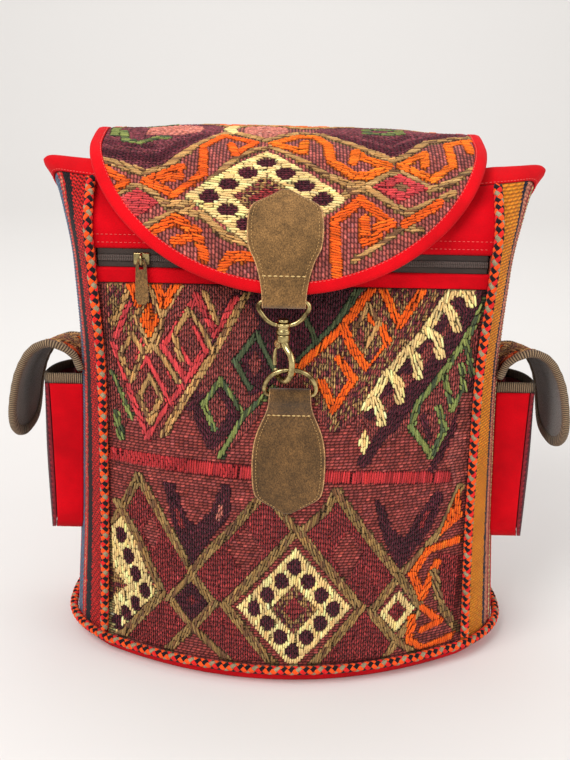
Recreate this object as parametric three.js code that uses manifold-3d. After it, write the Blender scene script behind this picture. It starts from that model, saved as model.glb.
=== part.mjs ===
// A wool kilim backpack: soft body of sewn panels, flap with a leather tab and swivel hook,
// zipped front pocket, two side pockets with flaps, braided edges and padded shoulder straps.
// Millimetres, +Z up, the front faces -Y, the origin is at the middle of the flat base.
import * as THREE from "three";
import { mergeVertices } from "three/addons/utils/BufferGeometryUtils.js";
import Module from "manifold-3d";

const wasm = await Module();
wasm.setup();

// Clearances between pieces that touch.
const GAP = 0.3;
const PIVOT_CLEARANCE = 0.4;

// Body: plan sizes at a row of heights, from the bottom seam to the mouth.
const SEAM_Z = 15;
const MOUTH_Z = 418;
const KILIM_TOP = 333;
const ZIP_Z = 352;
const BACK_Y = 88;
const BACK_HALF = 150;
const SIDE_FULLNESS = 2.6;
const STATION_Z = [SEAM_Z, 150, 260, KILIM_TOP + 2, ZIP_Z + 20, MOUTH_Z - 18, MOUTH_Z];
const CORNER_HALF = [152, 146, 144, 148, 150, 151, 152];
const CORNER_Y = [-55, -62, -68, -72, -72, -50, -30];
const FRONT_BULGE = [45, 38, 22, 0, 0, -9, -20];
const SIDE_HALF = [187, 178, 174, 176, 181, 192, 213];
const FRONT_SAG = 10;
const BACK_TOP_Z = MOUTH_Z - 7;
const EAR_DROOP = 26;
const KILIM_THICK = 4;
const CLOTH_THICK = 2.5;

// Bands up the front, and the zip between them.
const ZIP_TAPE_HALF = 7;
const ZIP_CHAIN_HALF = 2.4;
const ZIP_CHAIN_PROUD = 0.6;
const ZIP_END_MARGIN = 3;
const SLIDER_X = -113;
const BINDING = 10;
const BRAID_RADIUS = 3.8;

// Base tray, lining and the pouch behind the zip.
const TRAY_THICK = 3;
const LINING_DEPTH = 7.8;
const LINING_THICK = 1.5;
const POUCH_BOTTOM = 190;

// Flap: side profile from the seam on the back, over the mouth, to the tip.
const FLAP_X = -5;
const FLAP_HALF = 152;
const FLAP_ROUND = 136;
const FLAP_DROOP = 7;
const DROOP_FROM = 15;
const DROOP_LONG = 100;
const FLAP_BINDING = 9;
const FLAP_LINING = 1;
const FLAP_TAIL_Z = MOUTH_Z - 22;
const FLAP_CROWN = 16.5;

// Leather, hook and ring.
const LEATHER = 2.2;
const TAB_X = -6;
const RING_X = 0;
const LOOP_WIDTH = 32;
const WIRE = 1.9;
const EYE_HALF = 18.6;
const EYE_DROP = 17;
const HOOK_TWIST = 50;
const HOOK_SLACK = 3.5;
const RING_HALF = 19.2;
const RING_RISE = 22.5;
const RING_FORWARD = 1;

// Side pockets.
const POCKET_FRONT = -22;
const POCKET_BACK = 68;
const POCKET_LOW = 95;
const POCKET_TOP = 232;
const POCKET_DEEP_TOP = 28;
const POCKET_DEEP_LOW = 22;
const POCKET_CORNER = 14;
const POCKET_SLANT = 17;
const POCKET_BINDING = 9;
const POCKET_FLAP_FRONT = -37;
const POCKET_FLAP_BACK = 77;
const POCKET_FLAP_ROUND = 36;
const POCKET_FLAP_BINDING = 8;

// Carrying straps.
const STRAP_X = 62;
const STRAP_WIDTH = 58;
const STRAP_THICK = 12;
const WEB_WIDTH = 28;
const WEB_THICK = 2.4;
const HAUL_WIDTH = 20;

const bag = new THREE.Group();

const COLOURS = {
  kilim: [0x7c2a36, 0.95, 0],
  red: [0xd01524, 0.85, 0],
  stripe: [0xb0452a, 0.95, 0],
  brown: [0x6a4c38, 0.9, 0],
  braid: [0xa02a1c, 0.9, 0],
  leather: [0x5f4a2c, 0.8, 0],
  brass: [0xa3905c, 0.35, 1],
  zip: [0x3b3836, 0.7, 0],
  lining: [0x8d1a22, 0.9, 0],
  webbing: [0x5a3a2e, 0.9, 0],
};

function add(name, geometry, look) {
  const [colour, roughness, metalness] = COLOURS[look];
  const material = new THREE.MeshStandardMaterial({ color: colour, roughness, metalness });
  const mesh = new THREE.Mesh(geometry, material);
  mesh.name = name;
  bag.add(mesh);
  return mesh;
}

// Monotone cubic through (STATION_Z, values).
function station(values, z) {
  const last = STATION_Z.length - 1;
  const height = Math.min(Math.max(z, STATION_Z[0]), STATION_Z[last]);
  const rise = [];
  for (let i = 0; i < last; i += 1) {
    rise.push((values[i + 1] - values[i]) / (STATION_Z[i + 1] - STATION_Z[i]));
  }
  const slope = values.map((value, i) => {
    if (i === 0) return rise[0];
    if (i === last) return rise[last - 1];
    if (rise[i - 1] * rise[i] <= 0) return 0;
    return (2 * rise[i - 1] * rise[i]) / (rise[i - 1] + rise[i]);
  });
  let k = 0;
  while (k < last - 1 && height > STATION_Z[k + 1]) k += 1;
  const span = STATION_Z[k + 1] - STATION_Z[k];
  const t = (height - STATION_Z[k]) / span;
  const low = (1 + 2 * t) * (1 - t) ** 2 * values[k] + t * (1 - t) ** 2 * span * slope[k];
  const high = t * t * (3 - 2 * t) * values[k + 1] + t * t * (t - 1) * span * slope[k + 1];
  return low + high;
}

function sideX(t, z) {
  const front = station(CORNER_HALF, z);
  const fullness = 1 - Math.abs(2 * t - 1) ** SIDE_FULLNESS;
  const belly = station(SIDE_HALF, z) - (front + BACK_HALF) / 2;
  return front + (BACK_HALF - front) * t + belly * fullness;
}

function sideXAtY(y, z) {
  const front = station(CORNER_Y, z);
  return sideX((y - front) / (BACK_Y - front), z);
}

// The four walls in turn, counterclockwise from above.
const FRONT = 0;
const RIGHT = 1;
const BACK = 2;
const LEFT = 3;

function plan(edge, t, z) {
  const cornerY = station(CORNER_Y, z);
  if (edge === FRONT) {
    const s = 2 * t - 1;
    return new THREE.Vector2(s * station(CORNER_HALF, z),
      cornerY - station(FRONT_BULGE, z) * (1 - s * s));
  }
  if (edge === BACK) return new THREE.Vector2(BACK_HALF * (1 - 2 * t), BACK_Y);
  const along = edge === RIGHT ? t : 1 - t;
  const x = sideX(along, z);
  return new THREE.Vector2(edge === RIGHT ? x : -x, cornerY + (BACK_Y - cornerY) * along);
}

function planNormal(edge, t, z) {
  const step = 1e-3;
  const a = plan(edge, Math.max(t - step, 0), z);
  const b = plan(edge, Math.min(t + step, 1), z);
  const along = b.sub(a).normalize();
  return new THREE.Vector2(along.y, -along.x);
}

// A point of the wall, moved inwards by depth. Near a corner the offset turns to the mitre.
const MITRE_ZONE = 0.06;
function wall(edge, t, z, depth) {
  const point = plan(edge, t, z);
  const normal = planNormal(edge, t, z);
  const nearStart = t < 0.5;
  const reach = Math.min(nearStart ? t : 1 - t, MITRE_ZONE) / MITRE_ZONE;
  const neighbour = nearStart ? planNormal((edge + 3) % 4, 1, z) : planNormal((edge + 1) % 4, 0, z);
  const corner = planNormal(edge, nearStart ? 0 : 1, z).add(neighbour).normalize();
  const direction = corner.lerp(normal, reach).normalize();
  const length = depth / direction.dot(normal);
  return new THREE.Vector3(point.x - direction.x * length, point.y - direction.y * length, z);
}

// The mouth dips at the front, and at the sides the ears slope down to the back.
function mouthZ(edge, t) {
  if (edge === FRONT) return MOUTH_Z - FRONT_SAG * (1 - (2 * t - 1) ** 2);
  if (edge === BACK) return MOUTH_Z - EAR_DROOP * Math.abs(2 * t - 1);
  const along = edge === RIGHT ? t : 1 - t;
  return MOUTH_Z - EAR_DROOP * THREE.MathUtils.smoothstep(along, 0.12, 0.58);
}

function spread(from, to, count) {
  return Array.from({ length: count + 1 }, (_, i) => from + ((to - from) * i) / count);
}

function geometryFrom(points, faces) {
  const geometry = new THREE.BufferGeometry();
  geometry.setAttribute("position", new THREE.Float32BufferAttribute(points.flatMap((p) => p.toArray()), 3));
  geometry.setIndex(faces.flat());
  return geometry;
}

// A closed sheet between two grids of points. Column direction x row direction points outwards.
function slab(outer, inner) {
  const rows = outer.length;
  const columns = outer[0].length;
  const points = [...outer.flat(), ...inner.flat()];
  const out = (r, c) => r * columns + c;
  const inn = (r, c) => rows * columns + r * columns + c;
  const faces = [];
  const quad = (a, b, c, d) => faces.push([a, b, c], [a, c, d]);
  for (let r = 0; r < rows - 1; r += 1) {
    for (let c = 0; c < columns - 1; c += 1) {
      quad(out(r, c), out(r, c + 1), out(r + 1, c + 1), out(r + 1, c));
      quad(inn(r, c), inn(r + 1, c), inn(r + 1, c + 1), inn(r, c + 1));
    }
    quad(out(r, 0), out(r + 1, 0), inn(r + 1, 0), inn(r, 0));
    const e = columns - 1;
    quad(out(r, e), inn(r, e), inn(r + 1, e), out(r + 1, e));
  }
  const top = rows - 1;
  for (let c = 0; c < columns - 1; c += 1) {
    quad(out(0, c), inn(0, c), inn(0, c + 1), out(0, c + 1));
    quad(out(top, c), out(top, c + 1), inn(top, c + 1), inn(top, c));
  }
  return geometryFrom(points, faces);
}

// A skin over a row of closed rings, each end closed by a fan to its middle point.
// Each four-sided patch is split along its shorter diagonal.
function skin(first, rings, last) {
  const count = rings[0].length;
  const points = [first, ...rings.flat(), last];
  const at = (r, c) => 1 + r * count + (c % count);
  const end = points.length - 1;
  const faces = [];
  const span = (i, j) => points[i].distanceTo(points[j]);
  for (let c = 0; c < count; c += 1) {
    faces.push([0, at(0, c), at(0, c + 1)]);
    for (let r = 0; r < rings.length - 1; r += 1) {
      const [low, next, high, highNext] = [at(r, c), at(r, c + 1), at(r + 1, c), at(r + 1, c + 1)];
      if (span(low, highNext) < span(high, next)) faces.push([low, high, highNext], [low, highNext, next]);
      else faces.push([low, high, next], [high, highNext, next]);
    }
    faces.push([at(rings.length - 1, c), end, at(rings.length - 1, c + 1)]);
  }
  return geometryFrom(points, faces);
}

function middle(ring) {
  const sum = ring.reduce((total, p) => total.add(p), new THREE.Vector3());
  return sum.multiplyScalar(1 / ring.length);
}

function loft(rings) {
  return skin(middle(rings[0]), rings, middle(rings[rings.length - 1]));
}

function mirrored(geometry) {
  const copy = geometry.clone();
  copy.scale(-1, 1, 1);
  const index = copy.getIndex();
  for (let i = 0; i < index.count; i += 3) {
    const second = index.getX(i + 1);
    index.setX(i + 1, index.getX(i + 2));
    index.setX(i + 2, second);
  }
  return copy;
}

// Booleans.
function solid(geometry) {
  const bare = geometry.clone();
  bare.deleteAttribute("normal");
  bare.deleteAttribute("uv");
  const merged = mergeVertices(bare, 1e-4);
  return new wasm.Manifold(new wasm.Mesh({
    numProp: 3,
    vertProperties: new Float32Array(merged.getAttribute("position").array),
    triVerts: new Uint32Array(merged.getIndex().array),
  }));
}

function fromSolid(body) {
  const mesh = body.getMesh();
  const geometry = new THREE.BufferGeometry();
  geometry.setAttribute("position", new THREE.BufferAttribute(new Float32Array(mesh.vertProperties), 3));
  geometry.setIndex(new THREE.BufferAttribute(new Uint32Array(mesh.triVerts), 1));
  return geometry;
}

function joined(parts, cuts = []) {
  let body = solid(parts[0]);
  for (const part of parts.slice(1)) body = body.add(solid(part));
  for (const cut of cuts) body = body.subtract(solid(cut));
  return fromSolid(body);
}

function box(width, depth, height, x, y, z) {
  return new THREE.BoxGeometry(width, depth, height).translate(x, y, z);
}

// A cylinder along X, Y or Z.
function rod(radius, length, axis, x, y, z, sides = 14) {
  const geometry = new THREE.CylinderGeometry(radius, radius, length, sides);
  if (axis === "x") geometry.rotateZ(Math.PI / 2);
  if (axis === "z") geometry.rotateX(Math.PI / 2);
  return geometry.translate(x, y, z);
}

function oval(across, thick, sides) {
  const angles = spread(0, Math.PI * 2, sides).slice(0, sides);
  return new THREE.Shape(angles.map((angle) =>
    new THREE.Vector2(across * Math.cos(angle), thick * Math.sin(angle))));
}

function tube(points, shape, steps) {
  const path = new THREE.CatmullRomCurve3(points);
  return new THREE.ExtrudeGeometry(shape, { steps, extrudePath: path, bevelEnabled: false });
}

// A closed ring of round wire in the XZ plane, along a closed curve through the points.
function wireLoop(outline, radius, steps, sides) {
  const path = new THREE.CatmullRomCurve3(outline.map(([x, z]) => new THREE.Vector3(x, 0, z)), true);
  const points = [];
  const faces = [];
  for (let i = 0; i < steps; i += 1) {
    const centre = path.getPointAt(i / steps);
    const along = path.getTangentAt(i / steps);
    const across = new THREE.Vector3(along.z, 0, -along.x);
    for (let k = 0; k < sides; k += 1) {
      const angle = (2 * Math.PI * k) / sides;
      const offset = across.clone().multiplyScalar(Math.cos(angle) * radius);
      points.push(centre.clone().add(offset).add(new THREE.Vector3(0, Math.sin(angle) * radius, 0)));
    }
  }
  const at = (i, k) => (i % steps) * sides + (k % sides);
  for (let i = 0; i < steps; i += 1) {
    for (let k = 0; k < sides; k += 1) {
      faces.push([at(i, k), at(i + 1, k + 1), at(i + 1, k)], [at(i, k), at(i, k + 1), at(i + 1, k + 1)]);
    }
  }
  const geometry = geometryFrom(points, faces);
  return signedVolume(geometry) < 0 ? flipped(geometry) : geometry;
}

function signedVolume(geometry) {
  const position = geometry.getAttribute("position");
  const index = geometry.getIndex();
  const [a, b, c] = [new THREE.Vector3(), new THREE.Vector3(), new THREE.Vector3()];
  let volume = 0;
  for (let i = 0; i < index.count; i += 3) {
    a.fromBufferAttribute(position, index.getX(i));
    b.fromBufferAttribute(position, index.getX(i + 1));
    c.fromBufferAttribute(position, index.getX(i + 2));
    volume += a.dot(b.cross(c)) / 6;
  }
  return volume;
}

function flipped(geometry) {
  const index = geometry.getIndex();
  for (let i = 0; i < index.count; i += 3) {
    const second = index.getX(i + 1);
    index.setX(i + 1, index.getX(i + 2));
    index.setX(i + 2, second);
  }
  return geometry;
}

// Wall panels, each a sheet between two depths and two heights that may vary along the wall.
function panel(edge, lowZ, highZ, rows, columns, outerDepth, innerDepth, trim = 0.0008) {
  const across = spread(trim, 1 - trim, columns);
  const grid = (depth) => spread(0, 1, rows).map((v) => across.map((t) => {
    const low = typeof lowZ === "function" ? lowZ(t) : lowZ;
    const high = typeof highZ === "function" ? highZ(t) : highZ;
    return wall(edge, t, low + (high - low) * v, depth);
  }));
  return slab(grid(outerDepth), grid(innerDepth));
}

const HALF_GAP = GAP / 2;
const zipLow = ZIP_Z - ZIP_TAPE_HALF;
const zipHigh = ZIP_Z + ZIP_TAPE_HALF;
const panelTop = (edge) => (t) => mouthZ(edge, t) - BINDING - 2 * GAP;

add("front_panel", panel(FRONT, SEAM_Z + HALF_GAP, KILIM_TOP - HALF_GAP, 10, 12, 0, KILIM_THICK), "kilim");
add("zip_facing", panel(FRONT, KILIM_TOP + HALF_GAP, zipLow - HALF_GAP, 1, 12, 0, CLOTH_THICK), "red");
add("front_yoke", panel(FRONT, zipHigh + HALF_GAP, panelTop(FRONT), 5, 12, 0, CLOTH_THICK), "red");
const sideRight = panel(RIGHT, SEAM_Z + HALF_GAP, panelTop(RIGHT), 11, 8, 0, KILIM_THICK, 0.0016);
add("side_panel_right", sideRight, "stripe");
add("side_panel_left", mirrored(sideRight), "stripe");
add("back_panel", panel(BACK, SEAM_Z + HALF_GAP, BACK_TOP_Z, 8, 4, 0, KILIM_THICK), "red");

// Zip: straight, in the flat band across the front.
const zipY = wall(FRONT, 0.5, ZIP_Z, 0).y;
const zipHalf = station(CORNER_HALF, ZIP_Z) - ZIP_END_MARGIN;
const tapeHeight = ZIP_TAPE_HALF - ZIP_CHAIN_HALF - GAP;
const tapeMiddle = ZIP_CHAIN_HALF + HALF_GAP + tapeHeight / 2;
const TAPE_DEPTH = 0.8;
const TAPE_THICK = 1;
for (const [name, way] of [["zip_tape_upper", 1], ["zip_tape_lower", -1]]) {
  const tapeY = zipY + TAPE_DEPTH + TAPE_THICK / 2;
  const tape = box(zipHalf * 2, TAPE_THICK, tapeHeight, 0, tapeY, ZIP_Z + way * tapeMiddle);
  add(name, tape, "zip");
}
const chainThick = ZIP_CHAIN_PROUD + CLOTH_THICK;
const chainY = zipY - ZIP_CHAIN_PROUD + chainThick / 2;
add("zip_chain", box(zipHalf * 2, chainThick, ZIP_CHAIN_HALF * 2, 0, chainY, ZIP_Z), "zip");

// Slider: a channel over the chain with a bail, and a leather pull on the bail.
const SLIDER_LONG = 12;
const SLIDER_PLATE = 1.6;
const SLIDER_FLANGE = 1.7;
const BAIL_REACH = 4.6;
const BAIL_BAR = 1.1;
const plateBack = zipY - ZIP_CHAIN_PROUD - PIVOT_CLEARANCE;
const sliderHigh = (ZIP_CHAIN_HALF + PIVOT_CLEARANCE + SLIDER_FLANGE) * 2;
const flangeBack = zipY + TAPE_DEPTH - GAP;
const flangeDeep = flangeBack - plateBack;
const sliderParts = [
  box(SLIDER_LONG, SLIDER_PLATE, sliderHigh, SLIDER_X, plateBack - SLIDER_PLATE / 2, ZIP_Z),
];
for (const way of [1, -1]) {
  const flangeZ = ZIP_Z + way * (sliderHigh / 2 - SLIDER_FLANGE / 2);
  const flangeY = plateBack + flangeDeep / 2 - 0.1;
  sliderParts.push(box(SLIDER_LONG, flangeDeep + 0.2, SLIDER_FLANGE, SLIDER_X, flangeY, flangeZ));
}
const plateFront = plateBack - SLIDER_PLATE;
const bailPoints = [
  [0.3, 3.4], [-BAIL_REACH * 0.7, 3.2], [-BAIL_REACH, 0], [-BAIL_REACH * 0.7, -3.2], [0.3, -3.4],
];
const bailPath = bailPoints.map(([out, up]) => new THREE.Vector3(SLIDER_X, plateFront + out, ZIP_Z + up));
sliderParts.push(tube(bailPath, oval(BAIL_BAR, BAIL_BAR, 6), 10));
add("zip_slider", joined(sliderParts), "brass");

const PULL_LONG = 34;
const PULL_WIDE = 10;
const PULL_THICK = 1.6;
const pullY = plateFront - BAIL_REACH / 2;
const pullZ = ZIP_Z - 0.4;
const pullOutline = new THREE.Shape();
const pullHalf = PULL_WIDE / 2;
pullOutline.moveTo(-2.6, 0.9);
pullOutline.lineTo(2.6, 0.9);
pullOutline.lineTo(pullHalf - 1, -4);
pullOutline.lineTo(pullHalf, -PULL_LONG + 4);
pullOutline.lineTo(pullHalf - 2.5, -PULL_LONG);
pullOutline.lineTo(-pullHalf + 2.5, -PULL_LONG);
pullOutline.lineTo(-pullHalf, -PULL_LONG + 4);
pullOutline.lineTo(-pullHalf + 1, -4);
const pullHole = new THREE.Path();
pullHole.moveTo(-1.8, -0.9);
pullHole.lineTo(-1.8, -7.2);
pullHole.lineTo(1.8, -7.2);
pullHole.lineTo(1.8, -0.9);
pullOutline.holes.push(pullHole);
const pull = new THREE.ExtrudeGeometry(pullOutline, { depth: PULL_THICK, bevelEnabled: false });
pull.translate(0, 0, -PULL_THICK / 2).rotateX(Math.PI / 2).translate(SLIDER_X, pullY, pullZ);
add("zip_pull", pull, "leather");

// Pouch hanging behind the zip, and the lining of the main compartment.
const POUCH_THICK = 1.5;
const pouchDepth = KILIM_THICK + GAP + 0.6;
const pouchIn = pouchDepth + POUCH_THICK;
add("zip_pouch", panel(FRONT, POUCH_BOTTOM, zipHigh + 3, 6, 12, pouchDepth, pouchIn, 0.07), "lining");

const TRAY_COLUMNS = [[FRONT, 12], [RIGHT, 8], [BACK, 2], [LEFT, 8]];
const LINING_COLUMNS = [[FRONT, 8], [RIGHT, 4], [BACK, 2], [LEFT, 4]];
function ring(columns, depth, z, planZ = z) {
  const points = [];
  for (const [edge, count] of columns) {
    for (const t of spread(0, 1, count).slice(0, count)) {
      const height = typeof z === "function" ? z(edge, t) : z;
      const at = wall(edge, t, typeof planZ === "function" ? planZ(edge, t) : planZ, depth);
      points.push(new THREE.Vector3(at.x, at.y, height));
    }
  }
  return points;
}

const trayRings = [
  ring(TRAY_COLUMNS, TRAY_THICK + 6, TRAY_THICK + 0.2, SEAM_Z),
  ring(TRAY_COLUMNS, TRAY_THICK + 1, 9, SEAM_Z),
  ring(TRAY_COLUMNS, TRAY_THICK, SEAM_Z - HALF_GAP, SEAM_Z),
  ring(TRAY_COLUMNS, 0, SEAM_Z - HALF_GAP, SEAM_Z),
  ring(TRAY_COLUMNS, 0.4, 8, SEAM_Z),
  ring(TRAY_COLUMNS, 2.5, 3, SEAM_Z),
  ring(TRAY_COLUMNS, 6, 0, SEAM_Z),
];
const trayInside = new THREE.Vector3(0, 0, TRAY_THICK + 0.2);
add("bottom_panel", skin(trayInside, trayRings, new THREE.Vector3(0, 0, 0)), "red");

const liningTop = (edge, t) => mouthZ(edge, t) - BINDING - 1;
const liningFloor = TRAY_THICK + 0.2 + GAP + 0.1;
const liningHeights = [40, 180, 260, 300, 335, 372];
const liningIn = LINING_DEPTH + LINING_THICK;
const liningRings = [
  ring(LINING_COLUMNS, liningIn + 7, liningFloor + LINING_THICK, SEAM_Z),
  ring(LINING_COLUMNS, liningIn + 0.4, SEAM_Z, SEAM_Z),
  ...liningHeights.map((z) => ring(LINING_COLUMNS, liningIn, z)),
  ring(LINING_COLUMNS, liningIn, liningTop, liningTop),
  ring(LINING_COLUMNS, LINING_DEPTH, liningTop, liningTop),
  ...liningHeights.slice().reverse().map((z) => ring(LINING_COLUMNS, LINING_DEPTH, z)),
  ring(LINING_COLUMNS, LINING_DEPTH, SEAM_Z, SEAM_Z),
  ring(LINING_COLUMNS, LINING_DEPTH + 7, liningFloor, SEAM_Z),
];
const liningMiddle = new THREE.Vector3(0, 0, liningFloor + LINING_THICK);
add("lining", skin(liningMiddle, liningRings, new THREE.Vector3(0, 0, liningFloor)), "lining");

// Binding round the mouth, from one back corner round the front to the other.
const BINDING_PROUD = 0.8;
const mouthPath = [];
for (const [edge, count] of [[LEFT, 8], [FRONT, 12], [RIGHT, 8]]) {
  const steps = spread(edge === LEFT ? 0.02 : 0, edge === RIGHT ? 0.98 : 1, count);
  for (const t of edge === RIGHT ? steps : steps.slice(0, count)) mouthPath.push([edge, t]);
}
const mouthBand = (depth) => [-BINDING, -BINDING / 2, 0].map((drop) => mouthPath.map(([edge, t]) =>
  wall(edge, t, mouthZ(edge, t) + drop, depth)));
add("mouth_binding", slab(mouthBand(-BINDING_PROUD), mouthBand(KILIM_THICK + 1)), "red");

// Braids over the front corner seams and round the bottom seam.
const braidShape = oval(BRAID_RADIUS, BRAID_RADIUS, 8);
const braidOut = -(BRAID_RADIUS + 0.5);
function cornerCord(t, z) {
  const seam = wall(FRONT, t, z, 0);
  const along = wall(FRONT, t, z + 1, 0).sub(wall(FRONT, t, z - 1, 0)).normalize();
  const away = wall(FRONT, t, z, -1).sub(seam);
  away.addScaledVector(along, -away.dot(along)).normalize();
  return seam.addScaledVector(away, BRAID_RADIUS + 3 * GAP);
}
const braidLow = SEAM_Z + BRAID_RADIUS * 2 + 1;
const braidHigh = MOUTH_Z - BINDING - BRAID_RADIUS;
const braidRightPath = spread(braidLow, braidHigh, 26).map((z) => cornerCord(1, z));
const braidRight = tube(braidRightPath, braidShape, 26);
add("braid_right", braidRight, "braid");
const braidLeftPath = spread(braidLow, braidHigh, 26).map((z) => cornerCord(0, z));
add("braid_left", tube(braidLeftPath, braidShape, 26), "braid");
const hemPath = [];
for (const [edge, count] of [[LEFT, 8], [FRONT, 16], [RIGHT, 8]]) {
  const steps = spread(edge === LEFT ? 0.08 : 0, edge === RIGHT ? 0.92 : 1, count);
  const kept = edge === RIGHT ? steps : steps.slice(0, count);
  for (const t of kept) hemPath.push(wall(edge, t, SEAM_Z, braidOut));
}
add("braid_bottom", tube(hemPath, braidShape, 36), "braid");

// A flap is a sheet on a surface at(u, l, depth), u across and l along from its seam,
// with an end rounded over the last part of its length.
function outline(shape, inset, angle) {
  const power = 2 / shape.power;
  const reach = shape.long - inset - shape.start;
  return [(shape.half - inset) * Math.cos(angle) ** power, shape.start + reach * Math.sin(angle) ** power];
}

const END_ANGLE = (80 * Math.PI) / 180;
function flapSheet(shape, inset, outerDepth, innerDepth, tailRows, endRows, columns) {
  const rows = spread(0, shape.start, tailRows).map((l) => [shape.half - inset, l]);
  rows.push(...spread(0, END_ANGLE, endRows).slice(1).map((angle) => outline(shape, inset, angle)));
  const grid = (depth) => rows.map(([half, l]) =>
    spread(half, -half, columns).map((u) => shape.at(u, l, depth)));
  return slab(grid(outerDepth), grid(innerDepth));
}

function flapEdge(shape, band, outerDepth, innerDepth, tailRows, endRows) {
  const path = (inset) => {
    const half = [...spread(0, shape.start, tailRows).map((l) => [shape.half - inset, l]),
      ...spread(0, Math.PI / 2, endRows).slice(1).map((angle) => outline(shape, inset, angle))];
    half[half.length - 1][0] = 0;
    const other = half.slice(0, -1).reverse().map(([u, l]) => [-u, l]);
    return [...half, ...other];
  };
  const edge = path(0);
  const inner = path(band);
  const grid = (depth) => edge.map(([u, l], i) =>
    [shape.at(u, l, depth), shape.at(inner[i][0], inner[i][1], depth)]);
  return slab(grid(outerDepth), grid(innerDepth));
}

const flapThick = KILIM_THICK + GAP + FLAP_LINING;
const flapTail = BACK_Y + GAP + flapThick + 0.6;
const flapProfile = new THREE.CatmullRomCurve3([
  [flapTail, FLAP_TAIL_Z], [flapTail, BACK_TOP_Z], [flapTail - 1, MOUTH_Z + 8],
  [BACK_Y - 8, MOUTH_Z + FLAP_CROWN - 4.5], [BACK_Y - 38, MOUTH_Z + FLAP_CROWN],
  [BACK_Y - 88, MOUTH_Z + FLAP_CROWN - 0.5], [-45, MOUTH_Z + 3], [-80, MOUTH_Z - 34],
  [-95, ZIP_Z + 2], [-101, KILIM_TOP + 1],
].map(([y, z]) => new THREE.Vector3(0, y, z)));
flapProfile.arcLengthDivisions = 400;
const flapLong = flapProfile.getLength();

function flapFrame(l) {
  const share = Math.min(Math.max(l / flapLong, 0), 1);
  const point = flapProfile.getPointAt(share);
  const along = flapProfile.getTangentAt(share);
  point.addScaledVector(along, l - share * flapLong);
  return { point, along, out: new THREE.Vector3(0, -along.z, along.y).negate() };
}

function flapAt(u, l, depth) {
  const { point, out } = flapFrame(l);
  const shoulder = THREE.MathUtils.smoothstep(Math.abs(u), FLAP_HALF / 2, FLAP_HALF);
  const share = THREE.MathUtils.clamp((l - DROOP_FROM) / DROOP_LONG, 0, 1);
  const droop = FLAP_DROOP * shoulder * Math.sin(Math.PI * share) ** 2;
  return new THREE.Vector3(FLAP_X + u, point.y - out.y * depth, point.z - out.z * depth - droop);
}

const flapShape = { half: FLAP_HALF, long: flapLong, start: flapLong - FLAP_ROUND, power: 2, at: flapAt };
const flapInset = FLAP_BINDING + GAP;
add("flap", flapSheet(flapShape, flapInset, 0, KILIM_THICK, 7, 8, 8), "kilim");
add("flap_lining", flapSheet(flapShape, flapInset, KILIM_THICK + GAP, flapThick, 7, 8, 8), "lining");
add("flap_binding", flapEdge(flapShape, FLAP_BINDING, -0.5, flapThick + 0.5, 7, 9), "red");

// Leather tab on the flap, its end folded into a loop round the hook's eye.
const LOOP_HOLE = WIRE + PIVOT_CLEARANCE;
const LOOP_RADIUS = LOOP_HOLE + LEATHER;
const TAB_STATIONS = [
  [0, 4], [6, 14], [12, 24], [16, 26.6], [29, 28], [44, 27], [55, 22], [67, 18.4], [79, 16.4],
];
const tabLift = -(0.5 + GAP);
const tabStart = flapLong - TAB_STATIONS[TAB_STATIONS.length - 1][0];
const tabGrid = (depth) => TAB_STATIONS.map(([l, half]) => spread(half, -half, 4).map((u) =>
  flapAt(u + TAB_X - FLAP_X, tabStart + l, depth)));
const tip = flapFrame(flapLong);
const eyeAlong = LOOP_RADIUS + 0.8;
const eyeOut = -tabLift + LEATHER - LOOP_RADIUS;
const eyeAxis = tip.point.clone().addScaledVector(tip.along, eyeAlong).addScaledVector(tip.out, eyeOut);
eyeAxis.x = TAB_X;

// The section of a folded loop: a round with a hole, run out into the flat leather.
function loopSection(flatBack, tailLong, tailThick) {
  const shape = new THREE.Shape();
  shape.moveTo(flatBack, -tailLong);
  shape.lineTo(flatBack + tailThick, -tailLong);
  shape.absarc(0, 0, LOOP_RADIUS, -0.25, Math.PI, false);
  shape.lineTo(Math.max(flatBack, -LOOP_RADIUS), 0);
  const hole = new THREE.Path();
  hole.absarc(0, 0, LOOP_HOLE, 0, Math.PI * 2, true);
  shape.holes.push(hole);
  return shape;
}

function loopBlock(section, centre, out, up) {
  const settings = { depth: LOOP_WIDTH, bevelEnabled: false, curveSegments: 12 };
  const block = new THREE.ExtrudeGeometry(section, settings);
  block.translate(0, 0, -LOOP_WIDTH / 2);
  const across = new THREE.Vector3().crossVectors(out, up);
  block.applyMatrix4(new THREE.Matrix4().makeBasis(out, up, across));
  return block.translate(centre.x, centre.y, centre.z);
}

const tabUp = tip.along.clone();
const tabLoop = new THREE.Shape();
tabLoop.absarc(0, 0, LOOP_RADIUS, 0, Math.PI * 2, false);
const tabLoopHole = new THREE.Path();
tabLoopHole.absarc(0, 0, LOOP_HOLE, 0, Math.PI * 2, true);
tabLoop.holes.push(tabLoopHole);
const tabTongue = (depth) => [-6, 0, eyeAlong - 0.4].map((l) =>
  [LOOP_WIDTH / 2, -LOOP_WIDTH / 2].map((u) => flapAt(u + TAB_X - FLAP_X, flapLong + l, depth)));
add("flap_tab", joined([
  slab(tabGrid(tabLift - LEATHER), tabGrid(tabLift)),
  slab(tabTongue(tabLift - LEATHER), tabTongue(tabLift)),
  loopBlock(tabLoop, eyeAxis, tip.out, tabUp),
]), "leather");

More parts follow.
